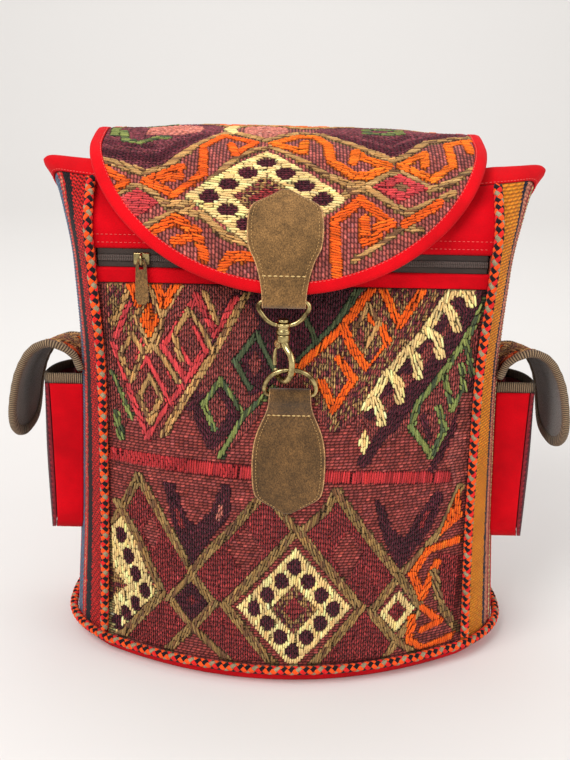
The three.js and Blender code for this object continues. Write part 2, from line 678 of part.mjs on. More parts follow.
// Swivel hook, drawn in its own plane with the eye's bar at the origin, then turned and hung.
const COLLAR_RADIUS = 5.4;
const COLLAR_LOW = -24;
const STEM_RADIUS = 2.4;
const HEAD_RADIUS = 4;
const SHOULDER_RADIUS = 5;
const HOOK_THICK = 2.6;
const eyeOutline = [
  [-EYE_HALF + 2, 0], [-9, 0], [0, 0], [9, 0], [EYE_HALF - 2, 0], [EYE_HALF, -3.2],
  [EYE_HALF - 3, -9.5], [11, -14.6], [6, -EYE_DROP], [0, -EYE_DROP], [-6, -EYE_DROP],
  [-11, -14.6], [-EYE_HALF + 3, -9.5], [-EYE_HALF, -3.2],
];
const collarHigh = -EYE_DROP + 1.6;
const collar = rod(COLLAR_RADIUS, collarHigh - COLLAR_LOW, "z", 0, 0, (collarHigh + COLLAR_LOW) / 2);
const collarBore = rod(STEM_RADIUS + PIVOT_CLEARANCE, 20, "z", 0, 0, COLLAR_LOW + 2);
const eye = joined([wireLoop(eyeOutline, WIRE, 36, 8), collar], [collarBore]);
eye.translate(eyeAxis.x, eyeAxis.y, eyeAxis.z);
add("hook_eye", eye, "brass");

const headLow = collarHigh + PIVOT_CLEARANCE;
const shoulderHigh = COLLAR_LOW - PIVOT_CLEARANCE;
const NECK_LOW = -30;
const GATE_PIVOT = [-4.2, -33];
const PIN_RADIUS = 1;
const SLOT_HALF = 1.5;
const GATE_HALF = SLOT_HALF - GAP;
const bowl = [
  [0, NECK_LOW + 2], [3.5, -33.5], [9, -39], [10.6, -47], [8.2, -56], [1.2, -60.6],
  [-5.6, -58.6], [-8.6, -53.6],
];
const bowlPath = bowl.map(([x, z]) => new THREE.Vector3(x, 0, z));
const lug = rod(3.6, HOOK_THICK * 2, "y", GATE_PIVOT[0], 0, GATE_PIVOT[1]);
const lugWeb = box(6, HOOK_THICK * 2, 5, -1.2, 0, GATE_PIVOT[1] + 2);
const hookParts = [
  rod(HEAD_RADIUS, 2.4, "z", 0, 0, headLow + 1.2),
  rod(STEM_RADIUS, headLow + 1 - (shoulderHigh - 1), "z", 0, 0, (headLow + shoulderHigh) / 2),
  rod(SHOULDER_RADIUS, shoulderHigh - NECK_LOW, "z", 0, 0, (shoulderHigh + NECK_LOW) / 2),
  tube(bowlPath, oval(2.5, HOOK_THICK, 10), 16),
  lug,
  lugWeb,
];
const slot = box(9.2, SLOT_HALF * 2, 14, GATE_PIVOT[0] - 1.5, 0, GATE_PIVOT[1] - 3);
const pinBore = rod(PIN_RADIUS + 0.15, HOOK_THICK * 3, "y", GATE_PIVOT[0], 0, GATE_PIVOT[1], 12);
const hookBody = joined(hookParts, [slot, pinBore]);
const gateArm = new THREE.Shape();
gateArm.moveTo(-2.2, 0.6);
gateArm.lineTo(-6.4, -6.4);
gateArm.lineTo(-7, -13);
gateArm.lineTo(-6.2, -18.2);
gateArm.lineTo(-3, -18.2);
gateArm.lineTo(-3.6, -13);
gateArm.lineTo(-2.9, -7);
gateArm.lineTo(1.4, -1.2);
const gateTongue = new THREE.ExtrudeGeometry(gateArm, { depth: GATE_HALF * 2, bevelEnabled: false });
gateTongue.translate(0, 0, -GATE_HALF).rotateX(Math.PI / 2).translate(GATE_PIVOT[0], 0, GATE_PIVOT[1]);
const gateBar = tube([[-5, -7.4], [-5.3, -13], [-4.6, -18.2]].map(([x, z]) =>
  new THREE.Vector3(GATE_PIVOT[0] + x, 0, GATE_PIVOT[1] + z)), oval(1.7, 2.6, 8), 5);
const knuckle = rod(2.6, GATE_HALF * 2, "y", GATE_PIVOT[0], 0, GATE_PIVOT[1]);
const gateBore = rod(PIN_RADIUS + PIVOT_CLEARANCE, HOOK_THICK * 3, "y", GATE_PIVOT[0], 0, GATE_PIVOT[1], 12);
const gate = joined([gateTongue, gateBar, knuckle], [gateBore]);
const pin = rod(PIN_RADIUS, HOOK_THICK * 2 + 0.6, "y", GATE_PIVOT[0], 0, GATE_PIVOT[1], 12);
const twist = THREE.MathUtils.degToRad(-HOOK_TWIST);
for (const [name, geometry] of [["hook_body", hookBody], ["hook_gate", gate], ["gate_pin", pin]]) {
  add(name, geometry.rotateZ(twist).translate(eyeAxis.x, eyeAxis.y, eyeAxis.z), "brass");
}

// Ring: its top lies in the hook's bowl, its bar in the loop of the lower leather tab.
const bowlFloor = eyeAxis.z - 60.6 + 2.5;
const ringTop = bowlFloor + WIRE + HOOK_SLACK + 1.4;
const ringZ = ringTop - RING_RISE;
const ringSeat = wall(FRONT, 0.5, ringZ, 0);
const RING_STANDOFF = LOOP_RADIUS + 0.5;
const ringY = ringSeat.y - RING_STANDOFF;
const ringTilt = Math.asin((ringY - (eyeAxis.y - RING_FORWARD)) / RING_RISE);
const ringOutline = [
  [-RING_HALF + 2.2, 0], [-8, 0], [0, 0], [8, 0], [RING_HALF - 2.2, 0], [RING_HALF - 0.2, 2.2],
  [RING_HALF, 7.5],
  [RING_HALF - 3.4, RING_RISE - 7.2], [9.6, RING_RISE - 1.9], [0, RING_RISE], [-9.6, RING_RISE - 1.9],
  [-RING_HALF + 3.4, RING_RISE - 7.2], [-RING_HALF, 7.5], [-RING_HALF + 0.2, 2.2],
];
add("ring", wireLoop(ringOutline, WIRE, 36, 8).rotateX(ringTilt).translate(RING_X, ringY, ringZ), "brass");

// Lower leather tab on the front panel.
const RING_TAB_STATIONS = [
  [0, 15.6], [10, 16.2], [22, 17.5], [34, 24], [46, 28.2], [60, 28.8], [82, 26.5], [86, 24], [98, 4],
];
const ringTabGrid = (depth) => RING_TAB_STATIONS.slice().reverse().map(([drop, half]) => {
  const z = ringZ - drop;
  const width = 2 * station(CORNER_HALF, z);
  return spread(-half, half, 4).map((u) => wall(FRONT, 0.5 + (RING_X + u) / width, z, depth));
});
const above = wall(FRONT, 0.5, ringZ + 2, 0);
const below = wall(FRONT, 0.5, ringZ - 18, 0);
const wallUp = above.sub(below).normalize();
const wallOut = new THREE.Vector3(0, -wallUp.z, wallUp.y);
const ringLoop = loopSection(-LOOP_RADIUS, 17, LEATHER * 2 + 0.6);
add("ring_tab", joined([
  slab(ringTabGrid(-GAP - LEATHER), ringTabGrid(-GAP)),
  loopBlock(ringLoop, new THREE.Vector3(RING_X, ringY, ringZ), wallOut, wallUp),
]), "leather");

// Side pockets, drawn on the right and mirrored.
function pocketDeep(z) {
  const share = (z - POCKET_LOW) / (POCKET_TOP - POCKET_LOW);
  return POCKET_DEEP_LOW + (POCKET_DEEP_TOP - POCKET_DEEP_LOW) * share;
}

// Above its rounded corners a pocket slopes down to the back.
function pocketLean(y, z) {
  const level = POCKET_LOW + POCKET_CORNER;
  const rise = Math.max(0, (z - level) / (POCKET_TOP - level));
  return z - (POCKET_SLANT * rise * (y - POCKET_FRONT)) / (POCKET_BACK - POCKET_FRONT);
}

function pocketAt(out, y, z) {
  const leaned = pocketLean(y, z);
  return new THREE.Vector3(sideXAtY(y, leaned) + out, y, leaned);
}

const GUSSET_THICK = 2;
const FACE_THICK = 3;
const FACE_GAP = 0.8;
function gussetPath(inset) {
  const r = POCKET_CORNER - inset;
  const front = POCKET_FRONT + inset;
  const back = POCKET_BACK - inset;
  const low = POCKET_LOW + inset;
  const path = spread(POCKET_TOP, low + r, 5).map((z) => [front, z]);
  const turn = spread(0, Math.PI / 2, 3).slice(1);
  path.push(...turn.map((a) => [front + r - r * Math.cos(a), low + r - r * Math.sin(a)]));
  path.push(...spread(front + r, back - r, 4).slice(1).map((y) => [y, low]));
  path.push(...turn.map((a) => [back - r + r * Math.sin(a), low + r - r * Math.cos(a)]));
  path.push(...spread(low + r, POCKET_TOP, 5).slice(1).map((z) => [back, z]));
  return path;
}
const gussetGrid = (inset) => gussetPath(inset).map(([y, z]) => spread(1, 0, 2).map((v) => {
  const near = GAP + 0.1;
  return pocketAt(near + (pocketDeep(z) - near) * v, y, z);
}));
const gusset = slab(gussetGrid(0), gussetGrid(GUSSET_THICK));

const faceRows = [
  POCKET_LOW, POCKET_LOW + 3, POCKET_LOW + 8, ...spread(POCKET_LOW + POCKET_CORNER, POCKET_TOP, 5),
];
const faceGrid = (out) => faceRows.map((z) => {
  const up = Math.max(0, POCKET_LOW + POCKET_CORNER - z);
  const inset = POCKET_CORNER - Math.sqrt(POCKET_CORNER ** 2 - up ** 2);
  return spread(POCKET_FRONT + inset, POCKET_BACK - inset, 6).map((y) => {
    const share = (z - POCKET_LOW) / (POCKET_TOP - POCKET_LOW);
    const fullness = (2.5 * Math.sin(Math.PI * share) * out) / FACE_THICK;
    return pocketAt(pocketDeep(z) + FACE_GAP + out + fullness, y, z);
  });
});
const pocketFace = slab(faceGrid(FACE_THICK), faceGrid(0));

const rimThick = 3.4;
const rimOut = pocketDeep(POCKET_TOP) + FACE_GAP + FACE_THICK;
function rimPath(inset, z) {
  const front = POCKET_FRONT + inset;
  const back = POCKET_BACK - inset;
  const out = rimOut - inset;
  const near = GAP + 0.1;
  const path = spread(near, out, 2).map((o) => pocketAt(o, front, z));
  path.push(...spread(front, back, 6).slice(1).map((y) => pocketAt(out, y, z)));
  path.push(...spread(out, near, 2).slice(1).map((o) => pocketAt(o, back, z)));
  return path;
}
const rimHeights = [POCKET_TOP + GAP, POCKET_TOP + POCKET_BINDING];
const pocketRim = slab(rimHeights.map((z) => rimPath(0, z)), rimHeights.map((z) => rimPath(rimThick, z)));

const pocketFlapProfile = new THREE.CatmullRomCurve3([
  [1.2, POCKET_TOP + 15], [7, POCKET_TOP + 29], [20, POCKET_TOP + 37.5], [35, POCKET_TOP + 32],
  [47, POCKET_TOP + 14], [54, POCKET_TOP - 12], [56, POCKET_TOP - 36], [54, POCKET_TOP - 54],
].map(([out, z]) => new THREE.Vector3(out, 0, z)));
const pocketFlapLong = pocketFlapProfile.getLength();
const pocketFlapMiddle = (POCKET_FLAP_FRONT + POCKET_FLAP_BACK) / 2;
const pocketFlapSeamZ = POCKET_TOP + 23;
const pocketFlapFarX = sideXAtY(pocketFlapMiddle, pocketFlapSeamZ);

function pocketFlapAt(u, l, depth) {
  const share = Math.min(Math.max(l / pocketFlapLong, 0), 1);
  const point = pocketFlapProfile.getPointAt(share);
  const along = pocketFlapProfile.getTangentAt(share);
  const y = pocketFlapMiddle + u;
  const blend = THREE.MathUtils.smoothstep(point.x, 0, 26);
  const seam = sideXAtY(y, pocketLean(y, pocketFlapSeamZ));
  const x = THREE.MathUtils.lerp(seam, pocketFlapFarX, blend) + point.x + along.z * depth;
  return new THREE.Vector3(x, y, pocketLean(y, point.z - along.x * depth));
}

const pocketFlapShape = {
  half: (POCKET_FLAP_BACK - POCKET_FLAP_FRONT) / 2,
  long: pocketFlapLong,
  start: pocketFlapLong - POCKET_FLAP_ROUND,
  power: 2.4,
  at: pocketFlapAt,
};
const pocketFlap = flapSheet(pocketFlapShape, POCKET_FLAP_BINDING + GAP, 0, KILIM_THICK, 6, 8, 4);
const pocketFlapEdge = flapEdge(pocketFlapShape, POCKET_FLAP_BINDING, -0.5, KILIM_THICK + 0.5, 6, 9);
for (const [side, place] of [["right", (g) => g], ["left", mirrored]]) {
  add(`pocket_gusset_${side}`, place(gusset), "red");
  add(`pocket_face_${side}`, place(pocketFace), "stripe");
  add(`pocket_rim_${side}`, place(pocketRim), "brown");
  add(`pocket_flap_${side}`, place(pocketFlap), "kilim");
  add(`pocket_flap_binding_${side}`, place(pocketFlapEdge), "brown");
}

// Straps on the back: padded shoulder straps, webbing with a slide, and a haul loop.
function strapRings(path, steps, section) {
  const curve = new THREE.CatmullRomCurve3(path);
  return spread(0, 1, steps).map((share) => {
    const centre = curve.getPointAt(share);
    const along = curve.getTangentAt(share);
    const across = new THREE.Vector3(1, 0, 0).addScaledVector(along, -along.x).normalize();
    const out = new THREE.Vector3().crossVectors(across, along);
    return section(share).map(([a, b]) => centre.clone().addScaledVector(across, a).addScaledVector(out, b));
  });
}

function padSection(half, thick) {
  const edge = thick * 0.42;
  return [[half - edge, -thick], [half, -thick + edge], [half, thick - edge], [half - edge, thick],
    [-half + edge, thick], [-half, thick - edge], [-half, -thick + edge], [-half + edge, -thick]];
}

function oriented(geometry) {
  return signedVolume(geometry) < 0 ? flipped(geometry) : geometry;
}

const PAD_TOP_Z = FLAP_TAIL_Z - 8;
const padHalf = STRAP_THICK / 2;
const padPath = [
  [STRAP_X, BACK_Y + padHalf + GAP + 0.1, PAD_TOP_Z], [STRAP_X, BACK_Y + padHalf + 1.2, PAD_TOP_Z - 12],
  [STRAP_X + 1, BACK_Y + 20, 350], [STRAP_X + 8, BACK_Y + 38, 290],
  [STRAP_X + 20, BACK_Y + 39, 215], [STRAP_X + 32, BACK_Y + 27, 142],
].map(([x, y, z]) => new THREE.Vector3(x, y, z));
const pad = oriented(loft(strapRings(padPath, 16, (share) =>
  padSection((STRAP_WIDTH / 2) * (1 - 0.3 * Math.max(0, share - 0.75) / 0.25), padHalf))));
const webStart = padPath[padPath.length - 1].clone();
const webEnd = new THREE.Vector3(STRAP_X + 52, BACK_Y + WEB_THICK / 2 + GAP + 0.4, 30);
const webAlong = webEnd.clone().sub(webStart).normalize();
const webPath = [webStart.clone().addScaledVector(webAlong, 3.5), webStart.clone().lerp(webEnd, 0.5), webEnd];
const webFlat = () => [[WEB_WIDTH / 2, -WEB_THICK / 2], [WEB_WIDTH / 2, WEB_THICK / 2],
  [-WEB_WIDTH / 2, WEB_THICK / 2], [-WEB_WIDTH / 2, -WEB_THICK / 2]];
const web = oriented(loft(strapRings(webPath, 4, webFlat)));
const SLIDE_SHARE = 0.42;
const slideCentre = webStart.clone().lerp(webEnd, SLIDE_SHARE);
const slideAcross = new THREE.Vector3(1, 0, 0).addScaledVector(webAlong, -webAlong.x).normalize();
const slideOut = new THREE.Vector3().crossVectors(slideAcross, webAlong);
const slideBasis = new THREE.Matrix4().makeBasis(slideAcross, webAlong, slideOut);
const slideFrame = joined(
  [box(WEB_WIDTH + 9, 22, WEB_THICK + 4.4, 0, 0, 0)],
  [
    box(WEB_WIDTH + 1, 40, WEB_THICK + 1, 0, 0, 0),
    box(WEB_WIDTH + 1, 6, 20, 0, -6, 0),
    box(WEB_WIDTH + 1, 6, 20, 0, 6, 0),
  ],
);
slideFrame.applyMatrix4(slideBasis).translate(slideCentre.x, slideCentre.y, slideCentre.z);
for (const [side, place] of [["right", (g) => g], ["left", mirrored]]) {
  add(`strap_pad_${side}`, place(pad), "webbing");
  add(`strap_web_${side}`, place(web), "webbing");
  add(`strap_slide_${side}`, place(slideFrame), "brass");
}

const HAUL_HALF = 24;
const HAUL_REACH = 30;
const HAUL_THICK = 3;
const HAUL_Z = PAD_TOP_Z - 14;
const haulArc = (inset) => spread(0, Math.PI, 12).map((angle) => [
  (HAUL_HALF - inset) * Math.cos(angle), BACK_Y + GAP + (HAUL_REACH - inset) * Math.sin(angle) ** 0.8]);
const haulGrid = (inset) => [HAUL_Z - HAUL_WIDTH / 2, HAUL_Z + HAUL_WIDTH / 2].map((z) =>
  haulArc(inset).map(([x, y]) => new THREE.Vector3(x, y, z)));
add("haul_loop", oriented(slab(haulGrid(0), haulGrid(HAUL_THICK))), "webbing");

export default bag;
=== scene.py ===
# %% [markdown]
# # A kilim backpack
# The bag is sewn from old flat-woven wool rugs, red cotton cloth, plaited cord, suede and brass.
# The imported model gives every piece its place. This lesson dresses it, piece by piece, in metres.

# %% Load the frame
import math

import bpy
import numpy as np
from mathutils import Matrix, Vector


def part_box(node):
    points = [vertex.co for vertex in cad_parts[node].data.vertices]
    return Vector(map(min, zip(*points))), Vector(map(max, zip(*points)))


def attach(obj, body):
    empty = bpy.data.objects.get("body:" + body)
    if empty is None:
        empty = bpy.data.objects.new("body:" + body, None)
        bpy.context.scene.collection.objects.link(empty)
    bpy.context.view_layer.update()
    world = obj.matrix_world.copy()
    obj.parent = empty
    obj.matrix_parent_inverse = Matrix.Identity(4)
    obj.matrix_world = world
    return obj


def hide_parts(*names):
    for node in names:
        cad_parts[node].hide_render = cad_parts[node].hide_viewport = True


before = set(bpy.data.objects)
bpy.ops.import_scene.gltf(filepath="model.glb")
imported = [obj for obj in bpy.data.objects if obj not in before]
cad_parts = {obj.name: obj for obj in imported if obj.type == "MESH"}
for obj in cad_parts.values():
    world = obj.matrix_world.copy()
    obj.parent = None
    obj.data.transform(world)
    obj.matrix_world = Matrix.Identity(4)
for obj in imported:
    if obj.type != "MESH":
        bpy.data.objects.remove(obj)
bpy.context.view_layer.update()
MM = 0.001
dice = np.random.default_rng(7)

# %% [markdown]
# ## Camera, light and floor
# The photograph looks down on the bag by 20 degrees with a slight tilt. The lens follows from the
# angle that the bag fills. One broad lamp from the upper left and a pale dome give soft shadows.

# %% Camera
CAMERA_AT = Vector((-0.004, -0.905, 0.5607))
CAMERA_PITCH = math.radians(20)
CAMERA_ROLL = math.radians(1.2)
FOCAL_PIXELS = 1142
PHOTO_LONG_SIDE = 760
SENSOR = 36

level_up = Vector((0, math.sin(CAMERA_PITCH), math.cos(CAMERA_PITCH)))
ahead = Vector((0, math.cos(CAMERA_PITCH), -math.sin(CAMERA_PITCH)))
sideways = Vector((1, 0, 0))
right = sideways * math.cos(CAMERA_ROLL) + level_up * math.sin(CAMERA_ROLL)
up = level_up * math.cos(CAMERA_ROLL) - sideways * math.sin(CAMERA_ROLL)
turn = Matrix((right, up, -ahead)).transposed().to_4x4()
bpy.ops.object.camera_add()
camera = bpy.context.object
camera.matrix_world = Matrix.Translation(CAMERA_AT) @ turn
camera.data.sensor_fit = "AUTO"
camera.data.sensor_width = SENSOR
camera.data.lens = SENSOR * FOCAL_PIXELS / PHOTO_LONG_SIDE
bpy.context.scene.camera = camera
print("camera lens", round(camera.data.lens, 1))

# %% Lamps and dome
DOME_STRENGTH = 0.62
KEY_WATTS = 34
FILL_WATTS = 11
BACKDROP_WATTS = 24


def aim(lamp, target):
    lamp.rotation_euler = (Vector(target) - lamp.location).to_track_quat("-Z", "Y").to_euler()


def soft_lamp(name, place, size, watts, target=(0, 0, 0.2)):
    bpy.ops.object.light_add(type="AREA", location=place)
    lamp = bpy.context.object
    lamp.name = name
    lamp.data.size = size
    lamp.data.energy = watts
    aim(lamp, target)
    return lamp


soft_lamp("key_lamp", (-0.9, -1.3, 1.7), size=1.1, watts=KEY_WATTS)
soft_lamp("fill_lamp", (1.5, -0.9, 0.9), size=1.4, watts=FILL_WATTS)
soft_lamp("backdrop_lamp", (0, 0.7, 2.2), size=1.6, watts=BACKDROP_WATTS, target=(0, 2.8, 0.5))

world = bpy.data.worlds.new("studio_dome")
bpy.context.scene.world = world
world.use_nodes = True
dome = world.node_tree.nodes["Background"]
dome.inputs["Color"].default_value = (1, 0.99, 0.98, 1)
dome.inputs["Strength"].default_value = DOME_STRENGTH
print("lamps:", len(bpy.data.lights))


# %% Helpers for operators
def only(piece):
    """Selects one object and makes it active, as most operators ask for."""
    bpy.ops.object.select_all(action="DESELECT")
    piece.select_set(True)
    bpy.context.view_layer.objects.active = piece
    return piece


def apply_modifier(piece, kind, **settings):
    """Adds a modifier, sets it and applies it at once."""
    only(piece)
    made = piece.modifiers.new(kind.lower(), kind)
    for key, value in settings.items():
        setattr(made, key, value)
    bpy.ops.object.modifier_apply(modifier=made.name)
    return piece


# %% Paper floor
PAPER = (0.75, 0.73, 0.71, 1)
FLOOR_HALF = 3.0
FLOOR_FOLD = 1.2
bpy.ops.object.select_all(action="DESELECT")
bpy.ops.mesh.primitive_plane_add(size=2 * FLOOR_HALF, location=(0, 0, 0))
floor = bpy.context.object
floor.name = "paper_floor"
bpy.ops.object.mode_set(mode="EDIT")
bpy.ops.mesh.select_all(action="DESELECT")
bpy.ops.object.mode_set(mode="OBJECT")
for edge in floor.data.edges:
    if all(floor.data.vertices[v].co.y > 0 for v in edge.vertices):
        edge.select = True
bpy.ops.object.mode_set(mode="EDIT")
bpy.ops.mesh.extrude_region_move(TRANSFORM_OT_translate={"value": (0, 0, FLOOR_HALF)})
bpy.ops.object.mode_set(mode="OBJECT")
apply_modifier(floor, "BEVEL", width=FLOOR_FOLD, segments=12)
bpy.ops.object.shade_smooth()
paper = bpy.data.materials.new("pale_paper")
paper.use_nodes = True
paper_shader = paper.node_tree.nodes["Principled BSDF"]
paper_shader.inputs["Base Color"].default_value = PAPER
paper_shader.inputs["Roughness"].default_value = 0.9
paper_shader.inputs["Specular IOR Level"].default_value = 0.1
floor.data.materials.append(paper)
bpy.context.scene.view_settings.view_transform = "Standard"
print("stage ready")

# %% [markdown]
# ## The bag's surface
# The body is a lofted shell: a plan outline at every height. The same few sizes as in the solid
# model drive it here, in millimetres, so each cloth lands on its panel.

# %% Sizes of the body
SEAM_Z = 15
BACK_Y = 88
BACK_HALF = 150
SIDE_FULLNESS = 2.6
KILIM_TOP = 333
ZIP_Z = 352
MOUTH_Z = 418
STATION_Z = np.array([SEAM_Z, 150, 260, KILIM_TOP + 2, ZIP_Z + 20, MOUTH_Z - 18, MOUTH_Z], float)
CORNER_HALF = np.array([152, 146, 144, 148, 150, 151, 152], float)
CORNER_Y = np.array([-55, -62, -68, -72, -72, -50, -30], float)
FRONT_BULGE = np.array([45, 38, 22, 0, 0, -9, -20], float)
SIDE_HALF = np.array([187, 178, 174, 176, 181, 192, 213], float)
FRONT_SAG = 10
EAR_DROOP = 26
DROOP_BEGINS = 0.12
DROOP_ENDS = 0.58
BINDING = 10
FRONT, RIGHT, BACK, LEFT = 0, 1, 2, 3
print("body", 2 * SIDE_HALF[0], "wide at the base,", MOUTH_Z, "high")


# %% Plan outline at any height
def station(values, z):
    """A size at any height, on a smooth curve through its values at the stations."""
    z = np.clip(z, STATION_Z[0], STATION_Z[-1])
    rise = np.diff(values) / np.diff(STATION_Z)
    slope = np.concatenate(([rise[0]], np.zeros(len(rise) - 1), [rise[-1]]))
    for i in range(1, len(rise)):
        if rise[i - 1] * rise[i] > 0:
            slope[i] = 2 * rise[i - 1] * rise[i] / (rise[i - 1] + rise[i])
    k = np.clip(np.searchsorted(STATION_Z, z) - 1, 0, len(rise) - 1)
    span = STATION_Z[k + 1] - STATION_Z[k]
    t = (z - STATION_Z[k]) / span
    low = (1 + 2 * t) * (1 - t) ** 2 * values[k] + t * (1 - t) ** 2 * span * slope[k]
    return low + t * t * (3 - 2 * t) * values[k + 1] + t * t * (t - 1) * span * slope[k + 1]


def side_x(t, z):
    front = station(CORNER_HALF, z)
    fullness = 1 - np.abs(2 * t - 1) ** SIDE_FULLNESS
    belly = station(SIDE_HALF, z) - (front + BACK_HALF) / 2
    return front + (BACK_HALF - front) * t + belly * fullness


def side_x_at_y(y, z):
    front = station(CORNER_Y, z)
    return side_x((y - front) / (BACK_Y - front), z)


def plan(edge, t, z):
    """A point of the outline seen from above; t runs from 0 to 1 along one of the four edges."""
    t, z = np.broadcast_arrays(np.asarray(t, float), np.asarray(z, float))
    corner_y = station(CORNER_Y, z)
    if edge == FRONT:
        s = 2 * t - 1
        return np.stack([s * station(CORNER_HALF, z), corner_y - station(FRONT_BULGE, z) * (1 - s * s)], -1)
    if edge == BACK:
        return np.stack([BACK_HALF * (1 - 2 * t), np.full_like(t, BACK_Y)], -1)
    along = t if edge == RIGHT else 1 - t
    x = side_x(along, z)
    return np.stack([x if edge == RIGHT else -x, corner_y + (BACK_Y - corner_y) * along], -1)


def plan_normal(edge, t, z):
    step = 1e-3
    t = np.asarray(t, float)
    along = plan(edge, np.minimum(t + step, 1), z) - plan(edge, np.maximum(t - step, 0), z)
    along /= np.linalg.norm(along, axis=-1, keepdims=True)
    return np.stack([along[..., 1], -along[..., 0]], -1)


# %% Walls and mouth
MITRE_SHARE = 0.06


def unit(vectors):
    return vectors / np.linalg.norm(vectors, axis=-1, keepdims=True)


def wall(edge, t, z, depth):
    """A point of the wall, moved inwards by depth; near a corner the offset turns to the mitre."""
    t, z, depth = np.broadcast_arrays(*(np.asarray(a, float) for a in (t, z, depth)))
    point = plan(edge, t, z)
    normal = plan_normal(edge, t, z)
    near_start = (t < 0.5)[..., None]
    reach = (np.minimum(np.where(t < 0.5, t, 1 - t), MITRE_SHARE) / MITRE_SHARE)[..., None]
    start, end = np.zeros_like(t), np.ones_like(t)
    edge_before, edge_after = (edge + 3) % 4, (edge + 1) % 4
    neighbour = np.where(near_start, plan_normal(edge_before, end, z), plan_normal(edge_after, start, z))
    own = np.where(near_start, plan_normal(edge, start, z), plan_normal(edge, end, z))
    direction = unit(unit(own + neighbour) * (1 - reach) + normal * reach)
    length = depth / np.sum(direction * normal, -1)
    return np.concatenate([point - direction * length[..., None], z[..., None]], -1)


def smooth_step(value, low, high):
    share = np.clip((np.asarray(value, float) - low) / (high - low), 0, 1)
    return share * share * (3 - 2 * share)


def mouth_z(edge, t):
    t = np.asarray(t, float)
    if edge == FRONT:
        return MOUTH_Z - FRONT_SAG * (1 - (2 * t - 1) ** 2)
    if edge == BACK:
        return MOUTH_Z - EAR_DROOP * np.abs(2 * t - 1)
    return MOUTH_Z - EAR_DROOP * smooth_step(t if edge == RIGHT else 1 - t, DROOP_BEGINS, DROOP_ENDS)


def along_lengths(points):
    """Lengths along a path, from 0 at its first point."""
    return np.concatenate(([0], np.cumsum(np.linalg.norm(np.diff(points, axis=0), axis=1))))


def smooth_curve(points, count):
    """A centripetal curve through the points, as evenly spaced points, with lengths along it."""
    nodes = np.array(points, float)
    pieces = []
    for i in range(len(nodes) - 1):
        b, c = nodes[i], nodes[i + 1]
        a = nodes[i - 1] if i else 2 * b - c
        d = nodes[i + 2] if i + 2 < len(nodes) else 2 * c - b
        spans = ((a, b), (b, c), (c, d))
        first, middle, last = (max(np.linalg.norm(q - p), 1e-9) ** 0.5 for p, q in spans)
        leave = ((b - a) / first - (c - a) / (first + middle) + (c - b) / middle) * middle
        reach = ((c - b) / middle - (d - b) / (middle + last) + (d - c) / last) * middle
        t = np.linspace(0, 1, 200)[:, None]
        square = 3 * (c - b) - 2 * leave - reach
        cube = 2 * (b - c) + leave + reach
        pieces.append(b + leave * t + square * t**2 + cube * t**3)
    dense = np.vstack(pieces)
    length = along_lengths(dense)
    even = np.linspace(0, length[-1], count)
    return np.stack([np.interp(even, length, dense[:, k]) for k in range(nodes.shape[1])], -1), even


print("front at half height", wall(FRONT, 0.5, 180, 0).round(1))

# %% [markdown]
# ## Mesh helpers
# Cloth is a grid of points on a surface, with a second grid below it for its thickness. A cord or
# binding is a closed ring that is swept along a path. Both are written straight into a mesh,
# because no primitive has the weave of a rug in it.

# %% New pieces
def new_piece(name, points, faces, material, body="bag", smooth=True, uv=None, dye=None, pile=None):
    """Makes a mesh object from points in millimetres. uv and pile go by point, dye goes by face."""
    mesh = bpy.data.meshes.new(name)
    mesh.from_pydata((np.asarray(points) * MM).tolist(), [], [list(map(int, face)) for face in faces])
    loop_point = np.empty(len(mesh.loops), int)
    mesh.loops.foreach_get("vertex_index", loop_point)
    if uv is not None:
        layer = mesh.uv_layers.new(name="cloth")
        layer.data.foreach_set("uv", np.asarray(uv, np.float32)[loop_point].ravel())
    if dye is not None:
        counts = np.empty(len(mesh.polygons), int)
        mesh.polygons.foreach_get("loop_total", counts)
        colour = np.concatenate([np.asarray(dye, np.float32), np.ones((len(dye), 1), np.float32)], 1)
        layer = mesh.color_attributes.new("dye", "FLOAT_COLOR", "CORNER")
        layer.data.foreach_set("color", np.repeat(colour, counts, axis=0).ravel())
    if pile is not None:
        layer = mesh.attributes.new("pile", "FLOAT", "POINT")
        layer.data.foreach_set("value", np.asarray(pile, np.float32))
    if smooth:
        mesh.polygons.foreach_set("use_smooth", np.ones(len(mesh.polygons), bool))
    mesh.materials.append(material)
    mesh.update()
    piece = bpy.data.objects.new(name, mesh)
    bpy.context.collection.objects.link(piece)
    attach(piece, body)
    return piece


def stands_for(piece, slot, *nodes):
    if nodes:
        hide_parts(*nodes)
    return piece


def flat_map(across, along):
    """Where the points lie on the flat cloth, in metres, from two grids in millimetres."""
    return np.stack(np.broadcast_arrays(across, along), -1).reshape(-1, 2) * MM


def outward(piece):
    """Turns all faces of a closed piece outwards."""
    only(piece)
    bpy.ops.object.mode_set(mode="EDIT")
    bpy.ops.mesh.select_all(action="SELECT")
    bpy.ops.mesh.normals_make_consistent(inside=False)
    bpy.ops.object.mode_set(mode="OBJECT")
    return piece


# %% Sheets of cloth
def lattice(rows, columns):
    at = np.arange(rows * columns).reshape(rows, columns)
    return np.stack([at[:-1, :-1], at[:-1, 1:], at[1:, 1:], at[1:, :-1]], -1).reshape(-1, 4)


